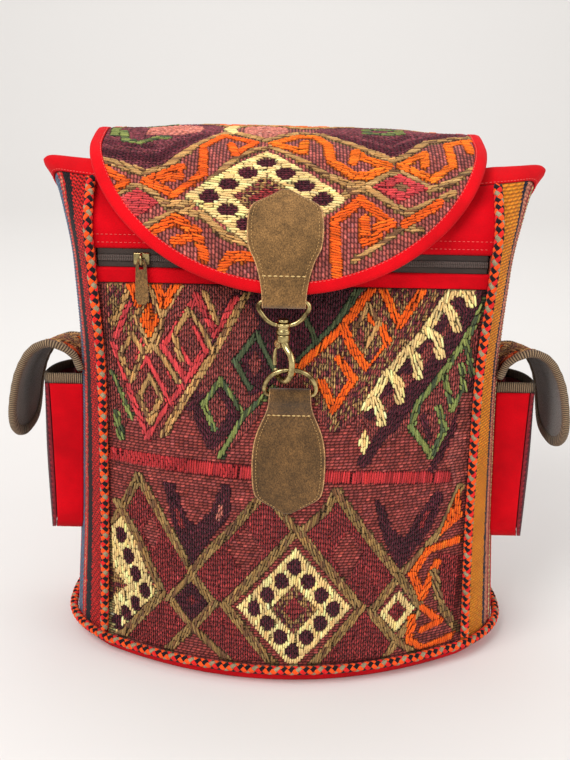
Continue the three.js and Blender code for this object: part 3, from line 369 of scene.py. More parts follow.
def sheet_faces(rows, columns, row_step, column_step):
    """Faces of a sheet whose upper side is a full grid and whose lower side is a coarser one.
    The lower rim keeps every point of the upper rim, so the edge is closed."""
    high = np.arange(rows * columns).reshape(rows, columns)
    low = high + rows * columns
    row_marks = list(range(0, rows - 1, row_step)) + [rows - 1]
    column_marks = list(range(0, columns - 1, column_step)) + [columns - 1]
    lower = []
    for r0, r1 in zip(row_marks[:-1], row_marks[1:]):
        for c0, c1 in zip(column_marks[:-1], column_marks[1:]):
            ring = list(low[r0:r1, c0]) if c0 == 0 else [low[r0, c0]]
            ring += list(low[r1, c0:c1]) if r1 == rows - 1 else [low[r1, c0]]
            ring += list(low[r1:r0:-1, c1]) if c1 == columns - 1 else [low[r1, c1]]
            ring += list(low[r0, c1:c0:-1]) if r0 == 0 else [low[r0, c1]]
            lower.append(ring)
    rim = []
    for side in (np.s_[0, :], np.s_[::-1, 0], np.s_[-1, ::-1], np.s_[:, -1]):
        a, b = high[side], low[side]
        rim += [[a[i], b[i], b[i + 1], a[i + 1]] for i in range(len(a) - 1)]
    return lattice(rows, columns), lower, rim


def sheet(name, upper, lower, material, uv=None, dye=None, pile=None, steps=(1, 1)):
    """A closed sheet between two grids of points, rows x columns x 3."""
    rows, columns = upper.shape[:2]
    top, bottom, rim = sheet_faces(rows, columns, *steps)
    points = np.concatenate([upper.reshape(-1, 3), lower.reshape(-1, 3)])
    faces = [*top.tolist(), *bottom, *rim]
    used = np.zeros(len(points), bool)
    for face in faces:
        used[face] = True
    renumber = np.cumsum(used) - 1
    faces = [renumber[face] for face in faces]
    if uv is not None:
        uv = np.concatenate([uv.reshape(-1, 2)] * 2)[used]
    if pile is not None:
        pile = np.concatenate([pile.ravel(), np.ones(rows * columns)])[used]
    if dye is not None:
        ground = np.median(dye.reshape(-1, 3), axis=0)
        dye = np.concatenate([dye.reshape(-1, 3), np.tile(ground, (len(faces) - len(top), 1))])
    return new_piece(name, points[used], faces, material, uv=uv, dye=dye, pile=pile)


# %% Swept rings
RIPPLE_WAVES = 5


def sweep_parts(rings):
    """Points and faces of a skin over rings, count x corners x 3, with both ends capped."""
    count, corners = rings.shape[:2]
    at = np.arange(count * corners).reshape(count, corners)
    turned = np.roll(at, -1, 1)
    faces = np.stack([at[:-1], turned[:-1], turned[1:], at[1:]], -1).reshape(-1, 4).tolist()
    faces += [at[0][::-1].tolist(), at[-1].tolist()]
    return rings.reshape(-1, 3), faces


def swept(name, rings, material, uv=None):
    """A closed piece over rings of points."""
    points, faces = sweep_parts(rings)
    return outward(new_piece(name, points, faces, material, uv=uv))


def merged(parts):
    """Several (points, faces) as one, with the faces of each renumbered."""
    points, faces, base = [], [], 0
    for part_points, part_faces in parts:
        points.append(part_points)
        faces += [[base + v for v in face] for face in part_faces]
        base += len(part_points)
    return np.concatenate(points), faces


def ripple(a, b, seed):
    """Slow, smooth unevenness between -1 and 1 for cloth, from a few crossed waves."""
    draw = np.random.default_rng(seed)
    total = 0
    for _ in range(RIPPLE_WAVES):
        wave_a, wave_b = draw.uniform(-1, 1, 2)
        total = total + np.sin(wave_a * a + wave_b * b + draw.uniform(0, 6.3))
    return total / RIPPLE_WAVES


# %% [markdown]
# ## Finishes
# Every finish is built from nodes. Wool takes its colour from the `dye` attribute, stitch by
# stitch, and gets painted shade in the gaps through the `pile` attribute. Cloth, suede and metal use the
# piece's own place or cloth map for their grain.

# %% Node helpers
def linear(red, green, blue):
    """A colour as seen on the screen, 0 to 255, as the light value that shaders use."""
    share = np.array([red, green, blue], float) / 255
    return tuple(np.where(share <= 0.04045, share / 12.92, ((share + 0.055) / 1.055) ** 2.4))


def rgba(colour):
    return (*linear(*colour), 1)


class Finish:
    """A material with one Principled shader and short ways to add nodes to it."""

    def __init__(self, name, roughness=0.8, sheen=0.0, metallic=0.0, specular=0.5):
        self.material = bpy.data.materials.new(name)
        self.material.use_nodes = True
        self.tree = self.material.node_tree
        self.shader = self.tree.nodes["Principled BSDF"]
        self.shader.inputs["Roughness"].default_value = roughness
        self.shader.inputs["Sheen Weight"].default_value = sheen
        self.shader.inputs["Sheen Roughness"].default_value = 0.5
        self.shader.inputs["Metallic"].default_value = metallic
        self.shader.inputs["Specular IOR Level"].default_value = specular

    def node(self, kind, inputs=(), **settings):
        made = self.tree.nodes.new(kind)
        for key, value in settings.items():
            setattr(made, key, value)
        for key, value in dict(inputs).items():
            self.feed(made.inputs[key], value)
        return made

    def feed(self, socket, value):
        if isinstance(value, bpy.types.NodeSocket):
            self.tree.links.new(value, socket)
        else:
            socket.default_value = value

    def place(self):
        return self.node("ShaderNodeTexCoord").outputs["Object"]

    def cloth_map(self):
        return self.node("ShaderNodeUVMap", uv_map="cloth").outputs["UV"]

    def noise(self, where, scale, detail):
        inputs = {"Vector": where, "Scale": scale, "Detail": detail, "Roughness": 0.6}
        return self.node("ShaderNodeTexNoise", inputs).outputs["Fac"]

    def stretched(self, where, scale, turn=0.0):
        inputs = {"Vector": where, "Scale": scale, "Rotation": (0, 0, turn)}
        return self.node("ShaderNodeMapping", inputs).outputs["Vector"]

    def wave(self, where, scale, direction, distortion):
        inputs = {"Vector": where, "Scale": scale, "Distortion": distortion}
        return self.node("ShaderNodeTexWave", inputs, bands_direction=direction).outputs["Fac"]

    def maths(self, kind, a, b):
        return self.node("ShaderNodeMath", {0: a, 1: b}, operation=kind).outputs[0]

    def spread(self, value, low, high, new_low=0.0, new_high=1.0):
        inputs = {"Value": value, "From Min": low, "From Max": high, "To Min": new_low, "To Max": new_high}
        return self.node("ShaderNodeMapRange", inputs).outputs["Result"]

    def mix(self, share, first, second, kind="MIX"):
        made = self.node("ShaderNodeMix", data_type="RGBA", blend_type=kind)
        self.feed(made.inputs["Factor"], share)
        self.feed(made.inputs[6], first)
        self.feed(made.inputs[7], second)
        return made.outputs[2]

    def darken(self, colour, share):
        """Multiplies a colour by a grey that is worked out from a share."""
        grey = self.node("ShaderNodeCombineColor", {0: share, 1: share, 2: share}).outputs["Color"]
        return self.mix(1.0, colour, grey, "MULTIPLY")

    def bump(self, height, strength, distance):
        made = self.node("ShaderNodeBump", {"Height": height, "Strength": strength, "Distance": distance})
        self.feed(self.shader.inputs["Normal"], made.outputs["Normal"])

    def colour(self, value):
        self.feed(self.shader.inputs["Base Color"], value)

    def rough(self, value):
        self.feed(self.shader.inputs["Roughness"], value)


# %% Wool: rugs, stripes and plaits
def wool(name, painted_gap_shade, yarn_scale, tilt):
    """Dyed wool yarn: colour from the dye attribute, painted shade between the stitches, hairy and dull."""
    made = Finish(name, roughness=0.9, sheen=0.08, specular=0.15)
    dye = made.node("ShaderNodeAttribute", attribute_name="dye").outputs["Color"]
    pile = made.node("ShaderNodeAttribute", attribute_name="pile").outputs["Fac"]
    where = made.place()
    yarn_map = made.stretched(made.cloth_map(), (yarn_scale, yarn_scale * 0.25, 1), tilt)
    fibre = made.noise(yarn_map, 1.0, 4.0)
    fleck = made.noise(where, 900.0, 2.0)
    # painted shade: the colour darkens where the pile attribute is low, in the gaps between the stitches
    depth = made.spread(pile, 0.12, 0.78, painted_gap_shade, 1.0)
    shade = made.maths("MULTIPLY", depth, made.spread(fibre, 0.3, 0.7, 0.78, 1.14))
    shade = made.maths("MULTIPLY", shade, made.spread(fleck, 0.3, 0.7, 0.8, 1.16))
    uneven = made.noise(where, 45.0, 3.0)
    shade = made.maths("MULTIPLY", shade, made.spread(uneven, 0.34, 0.66, 0.84, 1.12))
    made.colour(made.darken(dye, shade))
    made.rough(made.spread(fibre, 0.2, 0.8, 0.82, 0.98))
    twist = made.wave(made.stretched(made.cloth_map(), (1, 1, 1), tilt), yarn_scale * 0.2, "DIAGONAL", 1.5)
    made.bump(made.maths("ADD", fibre, made.maths("MULTIPLY", twist, 0.6)), 0.55, 0.0005)
    return made.material


rug_wool = wool("rug_wool", painted_gap_shade=0.2, yarn_scale=1100.0, tilt=0.0)
stripe_wool = wool("stripe_wool", painted_gap_shade=0.36, yarn_scale=1100.0, tilt=0.0)
strand_wool = wool("strand_wool", painted_gap_shade=0.2, yarn_scale=1500.0, tilt=0.0)
plait_wool = wool("plait_wool", painted_gap_shade=0.4, yarn_scale=1500.0, tilt=0.6)
print("wools:", len(bpy.data.materials))


# %% Woven cloth, thread and webbing
def woven_cloth(name, colour, deep, thread_mm, roughness=0.82, sheen=0.25, weave=0.35, specular=0.25):
    """A plain-woven cloth: crossing threads as bump, two close tones, slow fading, painted shade where the
    threads dip.
    """
    made = Finish(name, roughness=roughness, sheen=sheen, specular=specular)
    where = made.cloth_map()
    threads = math.pi / (thread_mm * MM) / 10
    warp = made.wave(where, threads, "X", 0.4)
    weft = made.wave(where, threads, "Y", 0.4)
    weave_height = made.maths("MAXIMUM", warp, weft)
    fade = made.noise(made.place(), 22.0, 3.0)
    fuzz = made.noise(made.place(), 700.0, 2.0)
    tone = made.mix(made.spread(fade, 0.35, 0.7), rgba(colour), rgba(deep))
    # painted shade: the colour darkens where the weave is low, between the threads
    tone = made.darken(tone, made.spread(weave_height, 0.0, 1.0, 0.86, 1.04))
    tone = made.darken(tone, made.spread(fuzz, 0.3, 0.7, 0.94, 1.05))
    made.colour(tone)
    made.rough(made.spread(fuzz, 0.3, 0.7, roughness - 0.08, roughness + 0.08))
    made.bump(made.maths("ADD", weave_height, made.maths("MULTIPLY", fuzz, 0.5)), weave, 0.0003)
    return made.material


red_cotton = woven_cloth("red_cotton", (218, 5, 22), (184, 4, 18), 0.5, sheen=0.03, specular=0.06)
red_binding = woven_cloth("red_binding", (216, 6, 20), (188, 4, 16), 0.5, sheen=0.04, specular=0.08)
dark_lining = woven_cloth("dark_lining", (120, 22, 30), (96, 18, 24), 0.6)
brown_felt = woven_cloth("brown_felt", (104, 80, 62), (82, 62, 48), 0.9,
                         roughness=0.95, sheen=0.35, weave=0.6)
brown_webbing = woven_cloth("brown_webbing", (92, 66, 50), (70, 50, 38), 1.4,
                            roughness=0.8, sheen=0.15, weave=0.9)
zip_cloth = woven_cloth("zip_cloth", (70, 57, 51), (50, 41, 37), 0.7, roughness=0.7, sheen=0.1, weave=0.6)


def ribbed_ribbon(name, light, dark, rib_mm):
    """A ribbon with thick ribs across it: painted highlight on each rib, painted shade between."""
    made = Finish(name, roughness=0.85, sheen=0.12, specular=0.2)
    rib = made.wave(made.cloth_map(), math.pi / (rib_mm * MM) / 10, "X", 0.5)
    fuzz = made.noise(made.place(), 900.0, 3.0)
    # painted highlight and shade: the colour runs from the dark tone between the ribs to the pale one on each
    # rib
    tone = made.mix(made.spread(rib, 0.2, 0.8), rgba(dark), rgba(light))
    made.colour(made.darken(tone, made.spread(fuzz, 0.3, 0.7, 0.8, 1.12)))
    made.rough(made.spread(fuzz, 0.3, 0.7, 0.78, 0.94))
    made.bump(made.maths("ADD", rib, made.maths("MULTIPLY", fuzz, 0.3)), 0.8, 0.0006)
    return made.material


brown_ribbon = ribbed_ribbon("brown_ribbon", (156, 132, 102), (66, 50, 40), 1.7)


def plain_thread(name, colour):
    made = Finish(name, roughness=0.7, sheen=0.1, specular=0.3)
    fuzz = made.noise(made.place(), 1500.0, 2.0)
    made.colour(made.darken(rgba(colour), made.spread(fuzz, 0.3, 0.7, 0.8, 1.1)))
    made.bump(fuzz, 0.4, 0.0002)
    return made.material


red_thread = plain_thread("red_thread", (240, 92, 84))
tan_thread = plain_thread("tan_thread", (206, 172, 112))
brown_thread = plain_thread("brown_thread", (176, 136, 82))
coil_nylon = plain_thread("coil_nylon", (90, 76, 70))
print("cloths and threads:", len(bpy.data.materials))


# %% Suede and brass
def suede(name, colour, deep):
    """Brown split leather: short nap in drifting light and dark patches, fine pores."""
    made = Finish(name, roughness=0.93, sheen=0.35, specular=0.15)
    where = made.place()
    patch = made.noise(where, 34.0, 4.0)
    nap = made.noise(made.stretched(where, (1, 1, 0.6)), 1100.0, 2.0)
    rub = made.noise(where, 150.0, 3.0)
    pore = made.noise(where, 1600.0, 2.0)
    tone = made.mix(made.spread(patch, 0.32, 0.68), rgba(colour), rgba(deep))
    tone = made.darken(tone, made.spread(nap, 0.36, 0.64, 0.6, 1.3))
    tone = made.darken(tone, made.spread(rub, 0.36, 0.64, 0.8, 1.14))
    tone = made.darken(tone, made.spread(pore, 0.36, 0.55, 0.62, 1.06))
    made.colour(tone)
    made.rough(made.spread(nap, 0.3, 0.7, 0.86, 0.98))
    made.bump(made.maths("ADD", nap, made.maths("MULTIPLY", pore, 0.5)), 0.4, 0.0004)
    return made.material


brown_suede = suede("brown_suede", (140, 102, 58), (102, 74, 40))
# A darker copy of the same suede, for the lower tab, which faces down: painted shade.
painted_shade_suede = suede("painted_shade_suede", (118, 84, 46), (84, 60, 32))
raw_edge = suede("raw_edge", (206, 158, 104), (176, 128, 80))


def old_brass(name):
    """Antique brass: a pale yellow metal with brown tarnish in the hollows and fine scratches."""
    made = Finish(name, roughness=0.26, metallic=1.0)
    where = made.place()
    tarnish = made.noise(where, 130.0, 4.0)
    scratch = made.noise(made.stretched(where, (1, 1, 0.15)), 900.0, 3.0)
    bright, dull = rgba((198, 178, 122)), rgba((80, 64, 40))
    made.colour(made.mix(made.spread(tarnish, 0.38, 0.68), bright, dull))
    dullness = made.spread(tarnish, 0.35, 0.75, 0.17, 0.42)
    made.rough(made.maths("ADD", dullness, made.spread(scratch, 0.3, 0.7, -0.05, 0.08)))
    made.bump(scratch, 0.12, 0.0002)
    return made.material


brass = old_brass("old_brass")
print("finishes:", len(bpy.data.materials))

# %% [markdown]
# ## The rug's drawing
# The front and the flap are cut from old rugs with traditional geometric motifs: hooked bands,
# a tan lattice, chevrons and diamonds with dots. Each motif is a line or a field in millimetres
# on the flat cloth. The colour of every stitch follows from where it stands in that drawing.

# %% Dyes
DYES = {
    "mauve": (164, 74, 68), "blush": (178, 90, 82), "rose": (204, 66, 68), "wine": (168, 58, 58),
    "red": (178, 48, 50), "purple": (98, 36, 48), "plum": (132, 62, 70), "orange": (248, 98, 24),
    "amber": (248, 114, 26), "tan": (190, 144, 88), "olive": (154, 120, 72), "tweed": (150, 96, 70),
    "cream": (252, 212, 142), "green": (126, 134, 72), "pine": (76, 86, 58), "pink": (230, 134, 116),
    "brown": (122, 84, 56), "navy": (38, 36, 58), "black": (28, 22, 26), "blue": (96, 116, 142),
    "salmon": (226, 138, 108), "mint": (142, 160, 136), "beige": (152, 140, 110),
    # The last dye here is the sides' amber made lighter: painted light, since the sides get less light than
    # the front.
    "flame": (250, 84, 26), "scarlet": (226, 34, 30), "lit_amber": (255, 146, 32),
}
# Some motifs are worked with two or three yarns, taken as they come.
MIXED = {
    "tweed": (("tan", "mauve", "purple"), (0.5, 0.32, 0.18)),
    "green": (("green", "pine"), (0.64, 0.36)),
    "olive": (("olive", "brown"), (0.76, 0.24)),
    "tan": (("tan", "brown"), (0.8, 0.2)),
}
DYE_NAMES = list(DYES)
DYE_LIGHT = np.array([linear(*DYES[name]) for name in DYE_NAMES])


def dye_number(name):
    return DYE_NAMES.index(name)


def hand_dyed(dye, spread=0.13):
    """Light values of the stitches, each a little lighter, darker or warmer than its dye."""
    dye = np.asarray(dye)
    yarn = dye.copy()
    for name, (parts, shares) in MIXED.items():
        taken = dice.choice([dye_number(part) for part in parts], dye.shape, p=shares)
        yarn = np.where(dye == dye_number(name), taken, yarn)
    colour = DYE_LIGHT[yarn]
    value = np.exp(dice.normal(0, spread, dye.shape))[..., None]
    warmth = dice.normal(0, 0.05, dye.shape)
    tint = np.stack([1 + warmth, np.ones(dye.shape), 1 - warmth], -1)
    return np.clip(colour * value * tint, 0.002, 0.95)


print("dyes:", len(DYES))


# %% Drawing tools
def field(colour, *corners):
    """A field of wrapped stitches."""
    return (colour, 0, list(corners))


def woven(colour, *corners):
    """A field in the flat ground weave."""
    return (colour, -1, list(corners))


def line(colour, width, *corners):
    """A line of wrapped stitches."""
    return (colour, width, list(corners))


def lines(colour, width, *paths):
    """Several lines of one colour and width."""
    return [line(colour, width, *path) for path in paths]


def in_field(x, z, corners):
    inside = np.zeros(np.shape(x), bool)
    ring = list(corners)
    for (x0, z0), (x1, z1) in zip(ring, ring[1:] + ring[:1]):
        if z0 == z1:
            continue
        crosses = (z0 > z) != (z1 > z)
        inside ^= crosses & (x < x0 + (x1 - x0) * (z - z0) / (z1 - z0))
    return inside


def on_line(x, z, corners, width):
    """Where a line passes, and which way it leans there: 1 rises to the right, -1 falls."""
    hit = np.zeros(np.shape(x), bool)
    way = np.zeros(np.shape(x))
    for (x0, z0), (x1, z1) in zip(corners[:-1], corners[1:]):
        dx, dz = x1 - x0, z1 - z0
        share = np.clip(((x - x0) * dx + (z - z0) * dz) / (dx * dx + dz * dz), 0, 1)
        near = np.hypot(x - x0 - share * dx, z - z0 - share * dz) < width / 2
        hit |= near
        way[near] = np.sign(dx * dz) * (abs(dz) > 0.25 * abs(dx))
    return hit, way


def diamond(x, z, half_x, half_z):
    return [(x - half_x, z), (x, z - half_z), (x + half_x, z), (x, z + half_z)]


def dot(x, z, half_x, half_z):
    """A dark dot, a diamond with its four points cut off."""
    corners = ((-1, -0.4), (-0.4, -1), (0.4, -1), (1, -0.4), (1, 0.4), (0.4, 1), (-0.4, 1), (-1, 0.4))
    return field("purple", *[(x + half_x * a, z + half_z * b) for a, b in corners])


def dotted_diamond(x, z, half_x, half_z, dot_x, dot_z):
    """A cream diamond with a ring of twelve dark dots round a mixed middle."""
    motifs = [field(colour, *diamond(x, z, half_x * share, half_z * share))
              for colour, share in (("cream", 1), ("tweed", 0.42), ("wine", 0.2))]
    corner = diamond(x, z, half_x * 0.7, half_z * 0.7)
    for (x0, z0), (x1, z1) in zip(corner, corner[1:] + corner[:1]):
        for share in (0, 1 / 3, 2 / 3):
            motifs.append(dot(x0 + (x1 - x0) * share, z0 + (z1 - z0) * share, dot_x, dot_z))
    return motifs


def weave(x, z, ground, drawing):
    """At each place: the number of the dye, whether a wrapped stitch stands there, and its lean."""
    dye = np.full(np.shape(x), dye_number(ground))
    raised = np.zeros(np.shape(x), bool)
    lean = np.zeros(np.shape(x))
    for colour, width, corners in drawing:
        if width > 0:
            hit, way = on_line(x, z, corners, width)
        else:
            hit, way = in_field(x, z, corners), np.zeros(np.shape(x))
        dye[hit] = dye_number(colour)
        raised[hit] = width >= 0
        lean[hit] = way[hit]
    return dye, raised, lean


# %% The upper half of the front
upper_front = [
    field("mauve", (-147, 334), (-147, 216), (-134, 204), (-120, 238), (-111, 205), (-98, 214), (-80, 236),
          (-62, 206), (-53, 198), (-18, 240), (12, 240), (34, 222), (50, 232), (58, 200), (76, 214),
          (94, 224), (112, 194), (128, 212), (148, 262), (148, 334)),
    field("tweed", (60, 334), (38, 304), (4, 270), (20, 246), (34, 228), (58, 239), (72, 260), (102, 294),
          (120, 334)),
    field("tweed", (-140, 334), (-140, 296), (-124, 292), (-104, 300), (-84, 334)),
    field("purple", (-42, 334), (-24, 304), (-46, 276), (-30, 250), (-14, 260), (4, 272), (34, 300),
          (54, 334)),
    line("purple", 10, (-42, 322), (-58, 290), (-73, 260), (-77, 240)),
    line("purple", 9, (-66, 246), (-70, 232), (-60, 210), (-50, 222), (-42, 238), (-52, 254)),
    line("purple", 15, (142, 330), (131, 302), (118, 284), (105, 263), (91, 247), (77, 227)),
    line("purple", 9, (77, 227), (58, 198)),
    *lines("purple", 10, [(116, 311), (107, 296)], [(98, 291), (90, 272)], [(83, 275), (74, 256)]),
    line("purple", 8, (68, 251), (62, 236)),
    line("purple", 9, (130, 318), (124, 326)),
    *lines("rose", 5,
           [(-136, 283), (-124, 245), (-111, 209), (-98, 232), (-83, 254), (-92, 264)],
           [(-124, 316), (-134, 290)], [(-112, 290), (-119, 264), (-110, 274), (-97, 250), (-92, 240)]),
    *lines("rose", 6,
           [(-72, 322), (-98, 284), (-79, 260), (-65, 284), (-72, 300)],
           [(-72, 324), (-57, 295), (-43, 322)]),
    line("rose", 4, (-84, 284), (-76, 272)),
    *lines("tan", 5,
           [(-108, 330), (-118, 306), (-108, 281), (-98, 306), (-108, 330)],
           [(-122, 293), (-131, 275), (-123, 255), (-113, 279), (-122, 293)],
           [(-108, 260), (-117, 242), (-108, 222), (-100, 244), (-108, 260)],
           [(-78, 313), (-89, 294), (-84, 276)], [(-78, 313), (-66, 296), (-59, 282)],
           [(-66, 326), (-57, 306)], [(-134, 304), (-122, 330)], [(-84, 332), (-98, 308), (-104, 284)],
           [(-104, 284), (-92, 268), (-86, 258)]),
    *lines("orange", 7, [(-123, 334), (-116, 317), (-111, 334)], [(-103, 334), (-97, 316), (-87, 334)]),
    field("orange", *diamond(-108, 304, 7.5, 15)),
    line("tan", 6, (-34, 326), (-48, 301), (-62, 276), (-80, 246), (-98, 214)),
    *lines("pine", 5, [(-26, 297), (-42, 276), (-31, 257)], [(-26, 297), (-13, 272)]),
    field("mauve", *diamond(-27, 275, 6, 10)),
    field("mauve", *diamond(-51, 237, 4, 9)),
    *lines("green", 5,
           [(-58, 223), (-66, 242), (-53, 262), (-44, 249), (-35, 235), (-13, 257)],
           [(-35, 235), (-53, 201)]),
    line("green", 4, (-138, 260), (-124, 224)),
    line("green", 6, (-136, 226), (-133, 206)),
    line("pine", 6, (52, 334), (33, 304), (6, 278)),
    line("pine", 5, (10, 310), (20, 290)),
    *lines("orange", 7,
           [(62, 334), (39, 303), (2, 270)],
           [(40, 303), (45, 290), (60, 270), (74, 290), (69, 303), (60, 310)],
           [(24, 262), (34, 241), (48, 265), (37, 279)], [(67, 334), (82, 305), (98, 331)]),
    line("tweed", 9, (112, 330), (83, 294), (54, 260), (34, 228)),
    line("tan", 5, (50, 304), (58, 320), (66, 306), (58, 290)),
    line("cream", 8, (121, 332), (101, 298), (86, 282), (72, 264), (59, 243)),
    line("cream", 9, (124, 332), (133, 331), (135, 323)),
    *lines("cream", 8,
           [(118, 318), (122, 312), (126, 303)], [(104, 300), (112, 294), (114, 282)],
           [(90, 286), (96, 279), (98, 266)], [(75, 268), (83, 261), (84, 247)],
           [(65, 247), (69, 241), (71, 230)]),
    field("cream", *diamond(58, 214, 4.5, 11)),
    line("green", 6, (148, 328), (133, 292), (118, 268), (99, 243), (95, 224), (113, 198), (122, 220),
          (116, 238)),
    *lines("green", 5, [(134, 292), (141, 264)], [(119, 264), (127, 236), (135, 252), (132, 272)]),
    line("purple", 5, (110, 214), (104, 232)),
    line("purple", 6, (146, 266), (130, 222), (114, 186)),
]
red_rows = [
    line("red", 11, (-144, 190), (-85, 190), (-22, 189)),
    line("red", 10, (30, 187), (84, 183), (132, 177)),
]
print("upper motifs:", len(upper_front))

# %% The lower half of the front
lower_front = [
    field("wine", (-74, 96), (-37, 146), (-18, 170), (6, 140), (-46, 72), (-58, 74)),
    woven("mauve", *diamond(-33, 122, 15, 22)),
    field("wine", (12, 140), (38, 170), (60, 137), (89, 95), (72, 72), (62, 72)),
    woven("mauve", *diamond(48, 118, 13, 24)),
    field("wine", (-139, 130), (-119, 170), (-100, 138), (-79, 98), (-93, 74), (-101, 74), (-121, 122)),
    woven("mauve", *diamond(-110, 126, 8, 16)),
    field("wine", (-76, 42), (-59, 66), (-50, 68), (-12, 22), (-44, 17)),
    field("wine", (-78, 42), (-94, 66), (-100, 68), (-122, 40), (-132, 20), (-98, 17)),
    field("wine", (20, 18), (60, 66), (69, 62), (90, 34), (80, 15)),
    field("wine", (124, 110), (146, 100), (148, 34), (132, 58)),
    woven("blush", (133, 248), (143, 250), (145, 160), (134, 166), (126, 190), (131, 214)),
    *lines("olive", 7.4,
           [(-141, 128), (-119, 174), (-100, 140), (-77, 100)],
           [(-76, 98), (-60, 120), (-37, 148), (-18, 174)],
           [(-18, 174), (-2, 154), (9, 138), (30, 159), (38, 174)], [(38, 174), (60, 140), (92, 94)],
           [(92, 94), (110, 112), (127, 132), (139, 166)]),
    field("purple", (-99, 174), (-91, 172), (-82, 148), (-74, 138), (-60, 154), (-52, 178), (-46, 176),
          (-46, 152), (-62, 128), (-76, 102), (-92, 138)),
    field("purple", (68, 168), (76, 158), (84, 138), (94, 128), (106, 148), (120, 168), (125, 160),
          (116, 132), (92, 100), (78, 126)),
    line("pink", 4, (-54, 148), (-53, 158)),
    *lines("wine", 4, [(-88, 150), (-84, 136)], [(108, 136), (112, 148)]),
    line("olive", 7.4, (-76, 94), (-58, 70), (-76, 45), (-95, 68), (-76, 94)),
    field("purple", *diamond(-77, 69, 14, 19)),
    field("wine", *diamond(-77, 70, 4, 5)),
    *lines("olive", 7.4, [(-77, 45), (-98, 18)], [(-76, 45), (-44, 16)]),
    field("cream", (-134, 137), (-126, 122), (-107, 70), (-128, 42), (-146, 16), (-152, 16), (-152, 110)),
    field("tweed", (-152, 92), (-132, 70), (-152, 46)),
    *[dot(x, z, 4.6, 7.5) for x, z in ((-136, 117), (-130, 99), (-124, 84), (-116, 70), (-125, 55),
          (-134, 43), (-143, 31))],
    line("olive", 7.4, (-138, 146), (-122, 120), (-101, 71), (-124, 40), (-140, 16)),
    *dotted_diamond(7, 70, 46, 56, 5.6, 7.4),
    *lines("olive", 8, [(8, 142), (-49, 70), (7, -4)], [(8, 142), (62, 68), (7, -4)]),
    line("olive", 7.4, (92, 94), (70, 64), (92, 32), (113, 60), (92, 94)),
    field("cream", *diamond(92, 61, 15, 20)),
    field("wine", *diamond(92, 61, 8, 11)),
    line("olive", 7, (82, 14), (94, 32), (112, 14)),
    field("orange", (138, 166), (143, 138), (124, 124), (130, 142)),
    *lines("orange", 7,
           [(146, 118), (116, 114), (103, 94), (113, 70), (124, 100)], [(114, 60), (130, 42), (115, 38)],
           [(105, 52), (104, 30), (117, 19), (144, 24)]),
    line("olive", 7, (122, 92), (130, 58), (148, 28)),
]
front_drawing = red_rows + upper_front + lower_front
print("lower motifs:", len(lower_front))

# %% [markdown]
# ## Weaving
# The ground is a flat weave: short dashes in rows, each dash a low hump with a groove round it,
# and painted shade in the groove. Over it stand the wrapped stitches, plump strands of wool side
# by side in columns. A column is read from end to end, and each run of one colour is filled with
# strands of four to eight millimetres, so their ends follow the edges of the motifs.

# %% The ground weave
KILIM_THICK = 4
DASH = 3
MOST_ROWS = 400
row_shifts = np.random.default_rng(5).integers(0, DASH, MOST_ROWS)


def dash_shift(row):
    return row_shifts[row // 2]


def ground_relief(rows, columns, seed):
    """Height of each grid point, 0 in the grooves to 1 on a dash; as the pile attribute it also sets painted
    shade in the grooves.
    """
    row = np.arange(rows)[:, None]
    column = np.arange(columns)[None, :]
    between = (column + dash_shift(row)) % DASH == 0
    relief = np.where(row % 2 == 1, np.where(between, 0.3, 1.0), 0.0)
    return relief * np.random.default_rng(seed).uniform(0.8, 1.1, (rows, columns))


def ground_tones(a, b, look):
    """One tone for every dash of a grid, by cell, with painted shade where wrapped stitches stand on it."""
    rows, columns = a.shape
    row = np.arange(rows - 1)[:, None] + np.zeros((1, columns - 1), int)
    column = np.arange(columns - 1)[None, :] + np.zeros((rows - 1, 1), int)
    shift = dash_shift(row)
    middle_row = np.minimum(row // 2 * 2 + 1, rows - 1)
    middle_column = np.clip((column + shift) // DASH * DASH - shift + 1, 0, columns - 1)
    dye, raised, _ = look(a[middle_row, middle_column], b[middle_row, middle_column])
    tone = hand_dyed(dye, 0.24)
    tone = tone[np.minimum(middle_row, rows - 2), np.minimum(middle_column, columns - 2)]
    # painted shade: the ground under the wrapped stitches is darkened to 0.55
    return tone * np.where(raised, 0.55, 1.0)[..., None]


print("a dash spans", DASH, "columns of the ground")


# %% The wrapped stitches
STRAND_PITCH = 1.9
BOLD_LONG = 7.5
FINE_LONG = 4.4
BOLD_LOOK = {"wide": 2.0, "tall": 1.5, "spread": 0.18}
FINE_LOOK = {"wide": 2.1, "tall": 1.0, "spread": 0.24}
STRAND_LEAN = 0.22
SAMPLE = 0.6
MISSING_SHARE = 0.03
BOLD = ("rose", "orange", "amber", "tan", "olive", "cream", "green", "pine", "red", "brown")
bold_dyes = [dye_number(name) for name in BOLD]


